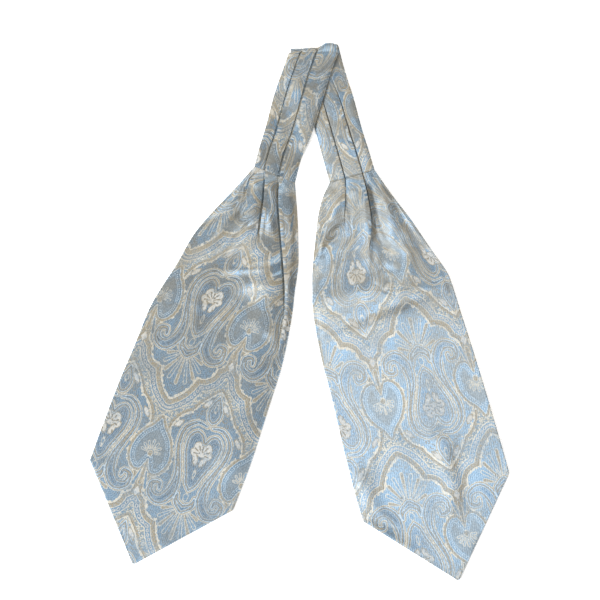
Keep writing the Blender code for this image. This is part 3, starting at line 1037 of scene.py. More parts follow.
@dataclass
class Blade:
    """A pointed blade: an upper panel with its opened pleats and a lower panel flat on the table.

    Lengths are in millimetres.
    """

    name: str
    rows: tuple[Section, ...]
    tip: Place
    edges: tuple[FoldEdge, ...]
    ridges: tuple[Ridge, ...]
    creases: tuple[Ridge, ...]
    weave: Weave
    seed: int
    cell_across: float = 1.0
    cell_along: float = 1.05
    lower_cell: float = 1.6
    lower_every: int = 6  # a lower panel's face has a point for this many on its underside
    lower_ripple: float = 0.12  # half the height of the waves under it
    lower_length: float = 40.0
    under_columns: int = 36  # of an upper panel's inner side
    under_every: int = 5  # its rows, one for this many of the face's
    dome: float = 0.75  # how soon a puffed section is full, less being sooner
    ripple: float = 0.3
    ripple_length: float = 42.0
    crease_reach: float = 3.0  # how far in from the edge the fine creases start
    seam_dip: float = 0.45  # how far the cloth dips to its seam
    seam_reach: float = 1.6  # and the length over which it does
    open_width: float = 143.0  # where a blade is wider than this, its silk lies open
    longest: float = 1.12  # how much longer than the middle column a gathered one may run
    rim_turns: tuple[float, ...] = (-80, -50, -20, 10, 40, 68)  # degrees round the rolled edge
    rim_full: float = 1.02  # how full the roll is

    def sections(self, cell: float) -> Array:
        """The sections from the band's seam to the blunt point.

        Args:
            cell: The length of a cell.

        Returns:
            Each section's ends and its puff.
        """
        found = finer(self.rows, cell)
        shoulders = found[-1]
        point = np.array([*self.tip, *self.tip, shoulders[4]])
        width = hypot(shoulders[2] - shoulders[0], shoulders[3] - shoulders[1])
        count = ceil(hypot(*(self.tip - middle_of(shoulders))) / cell)
        shares = (1 - TIP_WIDTH / width) * (np.arange(count)[:, None] + 1) / count
        return np.vstack([found, mix(shoulders, point, shares)])

    def _crossings(self, sections: Array) -> tuple[Array, Array]:
        """Where the fold edges cross the sections.

        Args:
            sections: The sections.

        Returns:
            Each edge's place across each section, and its height there.
        """
        width = width_of(sections)
        opened = smooth(run_along(sections) / OPENING)
        ux, uy = ((sections[:, 2 + i] - sections[:, i]) / width for i in (0, 1))
        at = np.zeros((len(sections), len(self.edges)))
        rise = np.zeros_like(at)
        for k, edge in enumerate(self.edges):
            path = curved(edge.path, 12)
            dx, dy = path[:, 0] - sections[:, :1], path[:, 1] - sections[:, 1:2]
            across = dx * ux[:, None] + dy * uy[:, None]
            ahead = dy * ux[:, None] - dx * uy[:, None]
            for i in range(len(sections)):
                share = np.interp(0.0, -ahead[i], np.arange(len(path))) / (len(path) - 1)
                at[i, k] = np.interp(share * (len(path) - 1), np.arange(len(path)), across[i])
                grown = mix(edge.seam_rise, edge.rise, opened[i])
                rise[i, k] = grown * (1 - smooth((share - edge.holds) / (1 - edge.holds)))
        return at, rise * np.minimum(1.0, width / NARROW)[:, None]

    def _level(self, sections: Array, base: Array) -> Array:
        """The height of the upper panel without its fold edges.

        Args:
            sections: The sections.
            base: Places across each of them.

        Returns:
            The face's height at each place.
        """
        width = width_of(sections)[:, None]
        opened = smooth(run_along(sections) / OPENING)[:, None]
        scale = np.minimum(1.0, width / NARROW)
        plot = Plot(*places(sections, base))
        edge = np.maximum(np.minimum(base, width - base), 0.0)
        dome = np.sin(pi * np.clip(base / width, 0.0, 1.0)) ** self.dome
        puffed = sections[:, 4:5] * dome + plot.raised(self.ridges)
        puffed = opened * smooth(edge / (PUFF_REACH * scale)) * puffed
        fine = plot.raised(self.creases) + self.ripple * plot.waves(self.ripple_length, self.seed)
        puffed = (puffed + np.hypot(puffed, SOFT_FLOOR) - SOFT_FLOOR) / 2
        return PANEL_TOP + puffed + opened * smooth(edge / (self.crease_reach * scale)) * fine

    def _silk(self, sections: Array, pleats: Pleats, points: Array) -> Array:
        """Unfold the upper panel's face.

        Args:
            sections: The sections.
            pleats: The pleats that cross them.
            points: The face's points.

        Returns:
            The place of each point across and along the silk before it was pleated.
        """
        x, y = places(sections, pleats.base)
        across = self.weave.across_of(x, y)
        left = self.weave.middle - SILK_WIDTH / 2 - across[:, :1]
        right = self.weave.middle + SILK_WIDTH / 2 - across[:, -1:]
        shoulders = width_of(sections).argmax()
        for end in (left, right):
            end[shoulders:] = end[shoulders]
        share = pleats.hidden_share()
        share = (share - share[:, :1]) / (share[:, -1:] - share[:, :1])
        along = self.weave.along_of(x, y)
        open_row = int(np.argmax(width_of(sections) > self.open_width))
        steps = np.linalg.norm(np.diff(points[: open_row + 1], axis=0), axis=2)
        back = np.cumsum(steps[::-1], axis=0)[::-1]
        middle = np.median(back, axis=1, keepdims=True)
        along[:open_row] = along[open_row] - np.minimum(back, middle * self.longest)
        return np.stack([across + mix(left, right, share), along], -1)

    def upper(self, loom: Loom, material: bpy.types.Material) -> bpy.types.Object:
        """The upper panel, as a shell whose edge rolls down to the lower one.

        Args:
            loom: The chart of the woven repeat.
            material: The silk.

        Returns:
            The finished object.
        """
        sections = self.sections(self.cell_along)
        width = width_of(sections)
        scale = np.minimum(1.0, width / NARROW)
        at, rise = self._crossings(sections)
        margin = PANEL_ROLL * scale
        faces, takes, tucks = zip(*((edge.faces, edge.takes, edge.tuck) for edge in self.edges))
        pleats = Pleats(width, at, rise, faces, margin, self.cell_across, takes, tucks)
        dip = self.seam_dip * (1 - smooth(run_along(sections) / self.seam_reach))
        height = self._level(sections, pleats.base) + pleats.lift - dip[:, None]
        height = np.maximum(height, PANEL_UNDER + PANEL_CLEAR)
        x, y = places(sections, pleats.across)
        top = np.stack([x, y, height], -1)
        silk = self._silk(sections, pleats, top)
        left = self._rim(sections, margin, top[:, 0], 0)
        right = self._rim(sections, margin, top[:, -1], 1)
        rolled = len(self.rim_turns)
        cloth = Cloth(f"{self.name}_upper_silk")
        face = np.concatenate([left, top, right[:, ::-1]], 1)
        shell = cloth.grid(face, np.pad(silk, ((0, 0), (rolled, rolled), (0, 0)), "edge"))
        self._line_under(cloth, sections[:: self.under_every], shell)
        return cloth.build(loom, self.weave, material)

    def _rim(self, sections: Array, margin: Array, inner: Array, end: int) -> Array:
        """The rolled edge beyond the first or last column.

        Args:
            sections: The sections.
            margin: From each section's end to that column.
            inner: The column's points.
            end: 0 for the left edge and 1 for the right one.

        Returns:
            The edge's points, from underneath to the top.
        """
        turns = np.radians(self.rim_turns)
        middle = (PANEL_UNDER + PANEL_TOP) / 2
        half = (inner[:, 2] - PANEL_UNDER)[:, None] / 2
        across = margin[:, None] * (1 - np.cos(turns))
        if end:
            across = width_of(sections)[:, None] - across
        x, y = places(sections, across)
        height = middle + half * np.sin(turns) * self.rim_full
        return np.stack([x, y, np.broadcast_to(height, x.shape)], -1)

    def _line_under(self, cloth: Cloth, rows: Array, shell: Array) -> None:
        """Add the shell's inner side, coarser than its face, and close it to the rims.

        Args:
            cloth: The mesh so far.
            rows: The inner side's sections, but for the last.
            shell: The numbers of the face's points.
        """
        rows = np.vstack([rows, self.sections(self.cell_along)[-1:]])
        width = width_of(rows)[:, None]
        share = np.linspace(0.0, 1.0, self.under_columns)[None]
        inset = PANEL_ROLL * np.minimum(1.0, width / NARROW)
        base = mix(inset, width - inset, share)
        x, y = places(rows, base)
        at, rise = self._crossings(rows)
        away = base[..., None] - at[:, None]
        deep = rise * (1 + np.array([edge.tuck for edge in self.edges])) * UNDER_DEEPER
        dips = (deep[:, None] * bell(away, UNDER_REACH)).max(axis=2)
        height = np.maximum(self._level(rows, base) - CLOTH - dips, PANEL_UNDER - INNER_SUNK)
        inner = cloth.grid(np.stack([x, y, height], -1), self.weave.flat(x, y), flip=True)
        cloth.line(shell, inner, flip=False)

    def lower(self, loom: Loom, material: bpy.types.Material) -> bpy.types.Object:
        """The lower panel, flat on the table, with a rounded edge.

        Args:
            loom: The chart of the woven repeat.
            material: The silk.

        Returns:
            The finished object.
        """
        rows = self.sections(self.lower_cell)
        width = width_of(rows)[:, None]
        inset = np.minimum(LOWER_INSET, width / 4)
        columns = ceil(float(width.max()) / self.lower_cell)
        base = mix(inset, width - inset, np.linspace(0.0, 1.0, columns)[None])
        x, y = places(rows, base)
        edge = np.minimum(base, width - base)
        under = self.lower_ripple * (1 + Plot(x, y).waves(self.lower_length, self.seed + 1))
        under = under * smooth(edge / LOWER_ROUND)
        silk = self.weave.flat(x, y)
        cloth = Cloth(f"{self.name}_lower_silk")
        bottom = cloth.grid(np.stack([x, y, under], -1), silk, flip=True)
        counts = (len(rows), columns)
        kept = (np.append(np.arange(0, n, self.lower_every), n - 1) for n in counts)
        coarse = np.ix_(*map(np.unique, kept))
        top = np.stack([x[coarse], y[coarse], np.full(x[coarse].shape, CLOTH)], -1)
        upper = cloth.grid(top, silk[coarse])
        cloth.line(bottom, upper, flip=True)
        return cloth.build(loom, self.weave, material)


# ---------------------------------------------------------------------------------------------------
# The neck band


@dataclass(frozen=True)
class Rings:
    """The rings of a leg of the band, from the crest of the fold to the seam."""

    sections: Array
    angle: Array  # round the turn, a quarter turn at the crest and nought on the flat part
    share: Array  # of the flat part's length

    def width(self) -> Array:
        """Each ring's width, as a column."""
        return width_of(self.sections)[:, None]


@dataclass
class BandLeg:
    """One leg of the pleated neck band, from the fold at the centre back to its blade.

    Lengths are in millimetres.
    """

    name: str
    rows: tuple[Section, ...]
    edges: tuple[BandEdge, ...]
    faces: Side
    over: bool  # whether it lies on the other leg
    ridges: tuple[Ridge, ...]
    weave: Weave
    seed: int
    cell_across: float = 0.8
    cell_along: float = 0.9
    turn_steps: int = 18
    layers: int = 4
    layer_groove: float = 0.9  # how deep the groove between two layers is
    layer_round: float = 0.45  # how round a layer's edge is, less being flatter
    side_from: float = 0.02  # where the layered side starts and ends, as shares of the height
    side_to: float = 0.84
    lean: float = 0.25  # how far its top leans in, and from which share of the height up
    lean_from: float = 0.7
    side_points: int = 24
    under_points: int = 10
    under_inset: float = 0.03  # of its width, from the side to the first point underneath
    ripple: float = 0.12
    ripple_length: float = 16.0
    seam_dip: float = 0.45
    seam_reach: float = 1.4
    folded_under: float = 11.0  # of the silk's width, at each side
    crisp_reach: float = 0.25  # of its length, over which the pleats sharpen from the centre back
    tuck: float = 0.2
    pleat_rise: float = BAND_RISE
    stitched: int = 4  # rings from the seam to the line of stitches
    seam_line: Array = field(init=False)

    def _under_height(self, x: Array, y: Array) -> Array:
        """What the leg lies on: the other leg and the slope beside it, or the table.

        Args:
            x: Places, across.
            y: Places, up the table.

        Returns:
            Its height at each place.
        """
        if not self.over:
            return np.zeros(np.shape(x))
        lefts = np.array([(row.left_y, row.left_x) for row in BAND_UNDER])[::-1]
        beside = np.interp(y, lefts[:, 0], lefts[:, 1]) - x
        return (BAND_THICK + 2 * TURN_RADIUS) * (1 - smooth(beside / SLOPE_REACH))

    def _rings(self) -> Rings:
        """Lay out the rings of the turn and of the flat part.

        Returns:
            The rings.
        """
        flat = finer(self.rows, self.cell_along)
        crest = np.array([CREST_LEFT, FOLD_Y, CREST_RIGHT, FOLD_Y, 0.0])
        angles = pi / 2 * (1 - np.arange(self.turn_steps) / self.turn_steps)
        turned = mix(flat[0], crest, np.sin(angles)[:, None])
        angle = np.concatenate([angles, np.zeros(len(flat))])
        share = np.concatenate([np.zeros(len(angles)), np.linspace(0.0, 1.0, len(flat))])
        return Rings(np.vstack([turned, flat]), angle, share)

    def build(self, loom: Loom, material: bpy.types.Material) -> bpy.types.Object:
        """The leg as a closed tube of rings, its sides folded in layers.

        Args:
            loom: The chart of the woven repeat.
            material: The silk.

        Returns:
            The finished object.
        """
        rings = self._rings()
        pleats = self._pleats(rings)
        top = self._top(rings, pleats)
        left, right = (self._side_ring(rings, top[:, c], c) for c in (0, -1))
        under = rings.width() * np.linspace(1 - self.under_inset, self.under_inset, self.under_points)
        low = self._floor(rings, under)
        across = np.concatenate([left[0], pleats.across, right[0][:, ::-1], under], 1)
        height = np.concatenate([left[1], top, right[1][:, ::-1], low], 1)
        points = self._placed(rings, across, height)
        plain = np.flatnonzero(np.isclose(pleats.across[-1], pleats.base[-1])) + self.side_points
        self.seam_line = points[-self.stitched, plain]
        cloth = Cloth(f"{self.name}_silk")
        silk = self._silk(rings, pleats, points)
        ids = cloth.grid(points, silk, flip=not self.over, around=True)
        cloth.fan(ids[0], flip=self.over)
        cloth.fan(ids[-1], flip=not self.over)
        return cloth.build(loom, self.weave, material)

    def _pleats(self, rings: Rings) -> Pleats:
        """Press the leg's pleats.

        Args:
            rings: The rings.

        Returns:
            The pleats of its face.
        """
        width = width_of(rings.sections)
        crisp = smooth(rings.share / self.crisp_reach)
        crisp = mix(CRISP_AT_FOLD, 1.0, crisp) if self.over else crisp
        rise = np.repeat((self.pleat_rise * crisp)[:, None], len(self.edges), 1)
        at = np.stack([mix(e.at_fold, e.at_seam, rings.share) * width for e in self.edges], 1)
        margin = np.full(len(width), BAND_MARGIN)
        faces, takes, tucks = zip(*((self.faces, e.takes, self.tuck) for e in self.edges))
        return Pleats(width, at, rise, faces, margin, self.cell_across, takes, tucks)

    def _top(self, rings: Rings, pleats: Pleats) -> Array:
        """Work out the height of the leg's face, before it is swung round the turn.

        Args:
            rings: The rings.
            pleats: The pleats of its face.

        Returns:
            The height of each of the pleats' columns.
        """
        along = run_along(rings.sections)
        along = np.maximum(along - along[self.turn_steps], 0.0)
        plot = Plot(*places(rings.sections, pleats.base))
        edge = np.minimum(pleats.base, rings.width() - pleats.base)
        rounded = BAND_DROP * (1 - smooth(edge / BAND_ROUND))
        dip = self.seam_dip * (1 - smooth((along[-1] - along) / self.seam_reach))[:, None]
        ripple = self.ripple * plot.waves(self.ripple_length, self.seed) + plot.raised(self.ridges)
        floor = self._floor(rings, pleats.base)
        top = floor + BAND_THICK - pleats.rise[:, :1] - rounded + pleats.lift + ripple - dip
        return np.maximum(top, floor + GROOVE_LEAST)

    def _floor(self, rings: Rings, across: Array) -> Array:
        """The height of the leg's underside, before it is swung round the turn."""
        x, y = places(rings.sections, across)
        return np.where(rings.angle[:, None] > 0, 0.0, self._under_height(x, y))

    def _side(self) -> Array:
        """The layered side of a ring.

        Returns:
            How far in each of its points lies, and its share of the height.
        """
        share = np.linspace(self.side_from, self.side_to, self.side_points)
        layer = self.layers * (share - self.side_from) / (self.side_to - self.side_from)
        inward = self.layer_groove * (1 - np.abs(np.sin(pi * layer)) ** self.layer_round)
        lean = (share > self.lean_from) * (share - self.lean_from) / (self.side_to - self.lean_from)
        return np.stack([inward + self.lean * lean, share])

    def _side_ring(self, rings: Rings, top: Array, end: int) -> tuple[Array, Array]:
        """Lay out one side of each ring, from underneath up.

        Args:
            rings: The rings.
            top: The height of the face beside this side.
            end: 0 for the left side and -1 for the right one.

        Returns:
            The points' places across, and their heights.
        """
        inward, share = self._side()
        across = np.repeat(inward[None], len(top), 0)
        across = rings.width() - across if end else across
        return across, mix(self._floor(rings, across), top[:, None], share)

    def _placed(self, rings: Rings, across: Array, height: Array) -> Array:
        """Put the rings' points in place, those of the turn swung up round the fold.

        Args:
            rings: The rings.
            across: The points' places across.
            height: Their heights where the band lies flat.

        Returns:
            The points.
        """
        x, y = places(rings.sections, across)
        upward = 1 if self.over else -1
        outward = height if self.over else BAND_THICK - height
        turn = rings.angle[:, None]
        bulge = self._bulge(across / rings.width()) * np.sin(turn) ** 2 * outward / BAND_THICK
        lift = LAYER_GAP / 2 * np.sin(turn) + (TURN_RADIUS + outward) * np.cos(turn)
        swung_y = y + (TURN_RADIUS + outward + bulge) * np.sin(turn)
        swung_z = BAND_THICK + TURN_RADIUS + upward * lift
        in_turn = turn > 0
        return np.stack([x, np.where(in_turn, swung_y, y), np.where(in_turn, swung_z, height)], -1)

    @staticmethod
    def _bulge(share: Array) -> Array:
        """How far the band stands out at the crest.

        Args:
            share: Places, as shares of its width.

        Returns:
            The bulge at each place.
        """
        out = CREST_BULGE[0]
        for (start, slope), strip in zip(CREST_STEPS, CREST_BULGE[1:]):
            out = mix(out, strip, smooth((share - start) / slope))
        return out * mix(CREST_END, 1.0, smooth((1 - share) / CREST_ROUND))

    def _silk(self, rings: Rings, pleats: Pleats, points: Array) -> Array:
        """Unfold the leg.

        Args:
            rings: The rings.
            pleats: The pleats of its face.
            points: The rings' points.

        Returns:
            The place of each point across and along the silk.
        """
        side = self.side_points
        width = rings.width()
        hidden = (SILK_WIDTH - 2 * self.folded_under - width) * pleats.hidden_share()
        across = self.weave.middle - SILK_WIDTH / 2 + self.folded_under + pleats.base + hidden
        steps = np.linalg.norm(np.diff(points[:, points.shape[1] // 4], axis=0), axis=1)
        back = run_of(steps[::-1])[::-1]
        seam_along = self.weave.along_of(*middle_of(rings.sections[-1]))
        rows_along = np.repeat((seam_along - back)[:, None], points.shape[1], 1)
        left = across[:, :1] - np.linspace(BAND_THICK, 0.0, side)[None]
        right = across[:, -1:] + np.linspace(0.0, BAND_THICK, side)[None]
        under = right[:, -1:] + np.linspace(0.0, 1.0, self.under_points) * width
        return np.stack([np.concatenate([left, across, right, under], 1), rows_along], -1)


# ---------------------------------------------------------------------------------------------------
# Finishes


NOISE = "ShaderNodeTexNoise"
VORONOI = "ShaderNodeTexVoronoi"
Colour = tuple[float, float, float, float]
Socket = bpy.types.NodeSocket
Value = Socket | float
Paint = Socket | Colour
Inputs = dict[str | int, object]


def linear(code: str) -> Colour:
    """An sRGB hex colour as linear numbers."""
    parts = [int(code[i : i + 2], 16) / 255 for i in (1, 3, 5)]
    return (*((p / 12.92 if p <= 0.04045 else ((p + 0.055) / 1.055) ** 2.4) for p in parts), 1.0)


def plug(node: bpy.types.Node, inputs: Inputs) -> None:
    """Set a node's inputs, or link them where a socket is given.

    Args:
        node: The node.
        inputs: Values or sockets for its inputs, by name or number.
    """
    for key, value in inputs.items():
        if isinstance(value, Socket):
            node.id_data.links.new(value, node.inputs[key])
        else:
            node.inputs[key].default_value = value


def add(
    tree: bpy.types.NodeTree, kind: str, inputs: Inputs | None = None, **settings: object
) -> bpy.types.Node:
    """Add a node with its settings and links.

    Args:
        tree: The node tree.
        kind: The node's type.
        inputs: Values or sockets for its inputs, by name or number.
        settings: Values for the node's own properties.

    Returns:
        The node.
    """
    node = tree.nodes.new(kind)
    for key, value in settings.items():
        setattr(node, key, value)
    plug(node, inputs or {})
    return node


def fresh(name: str) -> tuple[bpy.types.Material, bpy.types.Node]:
    """A new material and its shader."""
    material = bpy.data.materials.new(name)
    material.use_nodes = True
    return material, material.node_tree.nodes["Principled BSDF"]


class Draught:
    """The shader tree of a woven design: the colour laid so far, and where the satin shows."""

    def __init__(self, tree: bpy.types.NodeTree) -> None:
        """Start a design.

        Args:
            tree: The material's node tree.
        """
        self.tree = tree
        place = add(tree, "ShaderNodeUVMap", uv_map="silk").outputs[0]
        self.silk_mm = self.first("ShaderNodeMapping", {"Vector": place, "Scale": (1 / MM,) * 3})
        self.colour: Paint = (0.0, 0.0, 0.0, 1.0)
        self.satin: Value = 0.0
        self.step: Value = 0.0

    def first(self, kind: str, inputs: Inputs, **settings: object) -> Socket:
        """The first output of a new node."""
        return add(self.tree, kind, inputs, **settings).outputs[0]

    def maths(self, operation: str, *values: Value) -> Socket:
        """Arithmetic on sockets and numbers."""
        return self.first("ShaderNodeMath", dict(enumerate(values)), operation=operation)

    def field(self, tone: Tone) -> Socket:
        """A field of the chart, in millimetres, with the uneven step of the weave."""
        plain = add(self.tree, "ShaderNodeAttribute", attribute_name=tone.value).outputs["Fac"]
        return self.maths("ADD", plain, self.step)

    def below(self, value: Value, edge: Value, soft: float = 0.25) -> Socket:
        """A mask of where a value is below an edge.

        Args:
            value: The value.
            edge: The edge.
            soft: Half the width of the step between the mask's 1 and 0.

        Returns:
            The mask.
        """
        low = self.maths("SUBTRACT", edge, soft)
        high = self.maths("ADD", edge, soft)
        inputs = {"Value": value, "From Min": low, "From Max": high, "To Min": 1.0, "To Max": 0.0}
        return self.first("ShaderNodeMapRange", inputs, interpolation_type="SMOOTHSTEP")

    def line(self, value: Value, centre: float, half: float, soft: float = 0.2) -> Socket:
        """1 where a value is near a centre."""
        return self.below(self.maths("ABSOLUTE", self.maths("SUBTRACT", value, centre)), half, soft)

    def wave(self, value: Value, pitch: float) -> Socket:
        """A saw tooth from 0 to a half and back for each pitch."""
        return self.maths("PINGPONG", self.maths("DIVIDE", value, pitch), 0.5)

    def both(self, one: Value, two: Value) -> Socket:
        """Where both masks are."""
        return self.maths("MULTIPLY", one, two)

    def over(self, under: Paint, colour: Paint, share: Value) -> Socket:
        """One colour laid over another."""
        inputs = {"Factor": share, 6: under, 7: colour}
        return add(self.tree, "ShaderNodeMix", inputs, data_type="RGBA").outputs[2]

    def lay(self, colour: Paint, mask: Value, shines: float = 0.0) -> None:
        """Weave a colour into the design.

        Args:
            colour: The threads' colour.
            mask: Where they lie on the face.
            shines: How much of the satin's shine they have.
        """
        self.colour = self.over(self.colour, colour, mask)
        kept = self.both(self.satin, self.maths("SUBTRACT", 1.0, mask))
        self.satin = self.maths("MULTIPLY_ADD", mask, shines, kept) if shines else kept


@dataclass(frozen=True)
class JacquardSilk:
    """Jacquard-woven silk satin: a blue satin ground figured in fawn and cream.

    The long floats of the satin gather the light into a soft blue sheen across the threads, and the
    figures, woven in shorter floats, stay duller where the ground shines.
    """

    ground: str = "#7f9aaf"
    deep: str = "#738da3"
    pale: str = "#c2cdd2"
    fawn: str = "#a0947b"
    dark_fawn: str = "#8c816b"
    cream: str = "#d3cab6"
    white: str = "#c6c1b6"
    gap: str = "#94958b"
    gleam: str = "#b8dcff"
    rib: float = 2.1  # mm between the ribs of the ground, drawn coarser than the real threads
    rib_depth: float = 0.24
    step_mm: float = 1.5  # how far the figures' outlines wander
    painted_shade_starts: float = -0.16  # m up the cravat: below it no fawn is painted over the blue
    painted_shade_full: float = 0.08  # and from here up the most fawn is painted in patches over the gathered silk, as painted shade where the satin's blue sheen is lost
    # the most of the silk that those painted fawn patches cover
    painted_shade_most: float = 0.46
    fleck_depth: float = 0.72
    shine: float = 0.24  # of the figures, and more for the satin
    satin_shine: float = 0.3

    def make(self) -> bpy.types.Material:
        """Build the material.

        Returns:
            The material.
        """
        material, shader = fresh("jacquard silk satin")
        tree = material.node_tree
        d = Draught(tree)
        stepped = d.first(NOISE, {"Vector": d.silk_mm, "Scale": 0.45, "Detail": 1.0})
        d.step = d.maths("MULTIPLY_ADD", stepped, self.step_mm, -self.step_mm / 2)
        self._between(d)
        self._frames(d)
        self._figures(d)
        ribs = self._threads(d)
        bump = add(tree, "ShaderNodeBump", {"Strength": 0.35, "Distance": 0.0002, "Height": ribs})
        tangent = add(tree, "ShaderNodeTangent", direction_type="UV_MAP", uv_map="silk")
        shine = d.both(d.satin, d.maths("MULTIPLY_ADD", ribs, 0.5, 0.75))
        inputs = {
            "Base Color": d.colour,
            "Roughness": d.maths("MULTIPLY_ADD", d.satin, -0.05, 0.6),
            "Metallic": d.maths("MULTIPLY_ADD", shine, self.satin_shine, self.shine),
            "IOR": 1.54,
            "Specular IOR Level": 1.0,
            "Specular Tint": linear(self.gleam),
            "Anisotropic": 0.9,
            "Normal": bump.outputs[0],
            "Tangent": tangent.outputs[0],
        }
        plug(shader, inputs)
        return material

    def _between(self, d: Draught) -> None:
        """Weave the fawn ground between the frames, with flecks of cream and blue.

        Args:
            d: The design.
        """
        cells = {"Vector": d.silk_mm, "Scale": 0.62, "Randomness": 0.75}
        flecks = add(d.tree, VORONOI, cells, voronoi_dimensions="2D")
        kind = d.first("ShaderNodeSeparateColor", {0: flecks.outputs["Color"]})
        fleck = d.over(linear(self.deep), linear(self.cream), d.below(kind, 0.6, 0.05))
        d.colour = d.over(linear(self.gap), fleck, d.below(flecks.outputs["Distance"], 0.42, 0.12))

    def _frames(self, d: Draught) -> None:
        """Weave the frames: a beaded border round the fan end, and cream flames inside the edge.

        Args:
            d: The design.
        """
        fawn, cream, pale, white = (linear(c) for c in (self.fawn, self.cream, self.pale, self.white))
        frame, border, run = (d.field(t) for t in (Tone.FRAME, Tone.BORDER, Tone.BORDER_RUN))
        within = d.below(frame, 0.0)
        d.lay(fawn, d.below(frame, 3.0))
        d.lay(linear(self.ground), within, 1.0)
        d.lay(fawn, d.below(border, 5.0))
        d.lay(linear(self.ground), d.line(border, 8.2, 3.0), 0.6)
        loop = d.maths("POWER", d.maths("MULTIPLY", d.wave(run, 3.7), 3.7), 2)
        beads = d.maths("ADD", loop, d.maths("POWER", d.maths("SUBTRACT", border, 8.2), 2))
        d.lay(white, d.below(beads, 2.6, 0.8))
        d.lay(linear(self.deep), d.below(beads, 0.5, 0.3), 0.6)
        for at, half in ((5.1, 0.4), (11.3, 0.45)):
            d.lay(cream, d.line(border, at, half))
        echoes = d.both(d.line(d.wave(frame, 2.0), 0.0, 0.16, 0.12), within)
        d.lay(pale, d.both(echoes, 0.28))
        place = d.first(NOISE, {"Vector": d.silk_mm, "Scale": 0.22, "Detail": 2.0})
        spikes = d.first(VORONOI, {"Vector": d.silk_mm, "Scale": 0.34}, feature="F1")
        tall = d.maths("MULTIPLY_ADD", place, 4.0, d.maths("MULTIPLY_ADD", spikes, -3.2, 1.3))
        d.lay(cream, d.both(within, d.below(d.maths("MULTIPLY", frame, -1), tall, 0.35)))
        d.lay(cream, d.line(frame, -0.1, 0.45))
        d.lay(linear(self.dark_fawn), d.line(frame, 0.8, 0.35))
        spade = d.field(Tone.SPADE)
        d.lay(cream, d.below(spade, d.maths("ADD", tall, 2.2)))

    def _figures(self, d: Draught) -> None:
        """Weave the spades, hearts, hooks and buds, the fans' petals and the flowers.

        Args:
            d: The design.
        """
        fawn, cream, pale, white = (linear(c) for c in (self.fawn, self.cream, self.pale, self.white))
        ground, deep = linear(self.ground), linear(self.deep)
        spade, spade_run = d.field(Tone.SPADE), d.field(Tone.SPADE_RUN)
        d.lay(fawn, d.below(spade, 2.9))
        d.lay(ground, d.below(spade, 0.4), 0.9)
        d.lay(pale, d.line(spade, 0.2, 0.35))
        chain = d.both(d.line(spade, -2.2, 0.7), d.below(d.wave(spade_run, 2.4), 0.28, 0.1))
        d.lay(pale, d.both(chain, 0.8))
        d.lay(pale, d.line(spade, -3.9, 0.25))
        d.lay(fawn, d.both(d.below(spade, -5.0, 1.2), 0.35))
        paisley = d.field(Tone.PAISLEY)
        d.lay(fawn, d.below(paisley, 1.9))
        d.lay(cream, d.line(paisley, 1.9, 0.3))
        d.lay(deep, d.below(paisley, 0.5), 1.0)
        d.lay(fawn, d.line(paisley, -1.4, 0.5))
        d.lay(pale, d.line(paisley, -2.4, 0.25))
        echo = d.both(d.line(d.wave(paisley, 1.9), 0.0, 0.15, 0.1), d.below(paisley, -3.0))
        d.lay(pale, d.both(echo, 0.45))
        d.lay(pale, d.line(paisley, 0.3, 0.4))
        bloom = d.field(Tone.BLOOM)
        d.lay(fawn, d.below(bloom, 0.7))
        d.lay(white, d.below(bloom, 0.0), -0.6)
        for tone, inner, shines in ((Tone.FAN_PALE, ground, 0.7), (Tone.FAN_FAWN, fawn, 0.0)):
            petal = d.field(tone)
            d.lay(cream, d.both(d.below(petal, 0.35), 0.8))
            d.lay(inner, d.below(petal, -0.45), shines)
        d.lay(linear(self.dark_fawn), d.below(d.field(Tone.PISTIL), 0.0))

    def _threads(self, d: Draught) -> Socket:
        """Work the fine ribs, the flecks of the other threads, the uneven dye and fawn patches of
        painted shade up towards the band into the colour.

        Args:
            d: The design, whose colour is changed.

        Returns:
            The ribs' height.
        """
        across, along, _ = add(d.tree, "ShaderNodeSeparateXYZ", {0: d.silk_mm}).outputs
        slant = d.maths("MULTIPLY_ADD", along, 0.12, across)
        rib = d.maths("MULTIPLY", d.wave(slant, self.rib), 2)
        grain = d.first("ShaderNodeMapping", {"Vector": d.silk_mm, "Scale": (1.0, 0.55, 1.0)})
        inputs = {"Vector": grain, "Scale": 0.6, "Detail": 3.0, "Roughness": 0.85}
        fine = d.first(NOISE, inputs)
        uneven = d.first(NOISE, {"Vector": d.silk_mm, "Scale": 0.12, "Detail": 4.0})
        value = d.maths("MULTIPLY_ADD", fine, self.fleck_depth, 1 - self.fleck_depth / 2)
        value = d.maths("MULTIPLY_ADD", uneven, 0.16, d.maths("SUBTRACT", value, 0.08))
        depth = d.maths("MULTIPLY", d.maths("MULTIPLY_ADD", d.satin, 0.7, 0.3), self.rib_depth)
        value = d.maths("MULTIPLY_ADD", d.maths("SUBTRACT", rib, 0.5), depth, value)
        other = d.over(linear(self.ground), linear(self.fawn), d.satin)
        cloud = d.first(NOISE, {"Vector": d.silk_mm, "Scale": 0.032, "Detail": 3.0})
        value = d.maths("MULTIPLY_ADD", cloud, -0.3, d.maths("ADD", value, 0.15))
        often = d.maths("MULTIPLY_ADD", cloud, 0.5, 0.22)
        share = d.maths("MULTIPLY", d.below(fine, often, 0.06), 0.5)
        mixed = d.over(d.colour, other, share)
        spots = {"Vector": grain, "Scale": 0.75}
        dots = d.first(VORONOI, spots, voronoi_dimensions="2D")
        mixed = d.over(mixed, linear(self.pale), d.both(d.below(dots, 0.34, 0.12), 0.3))
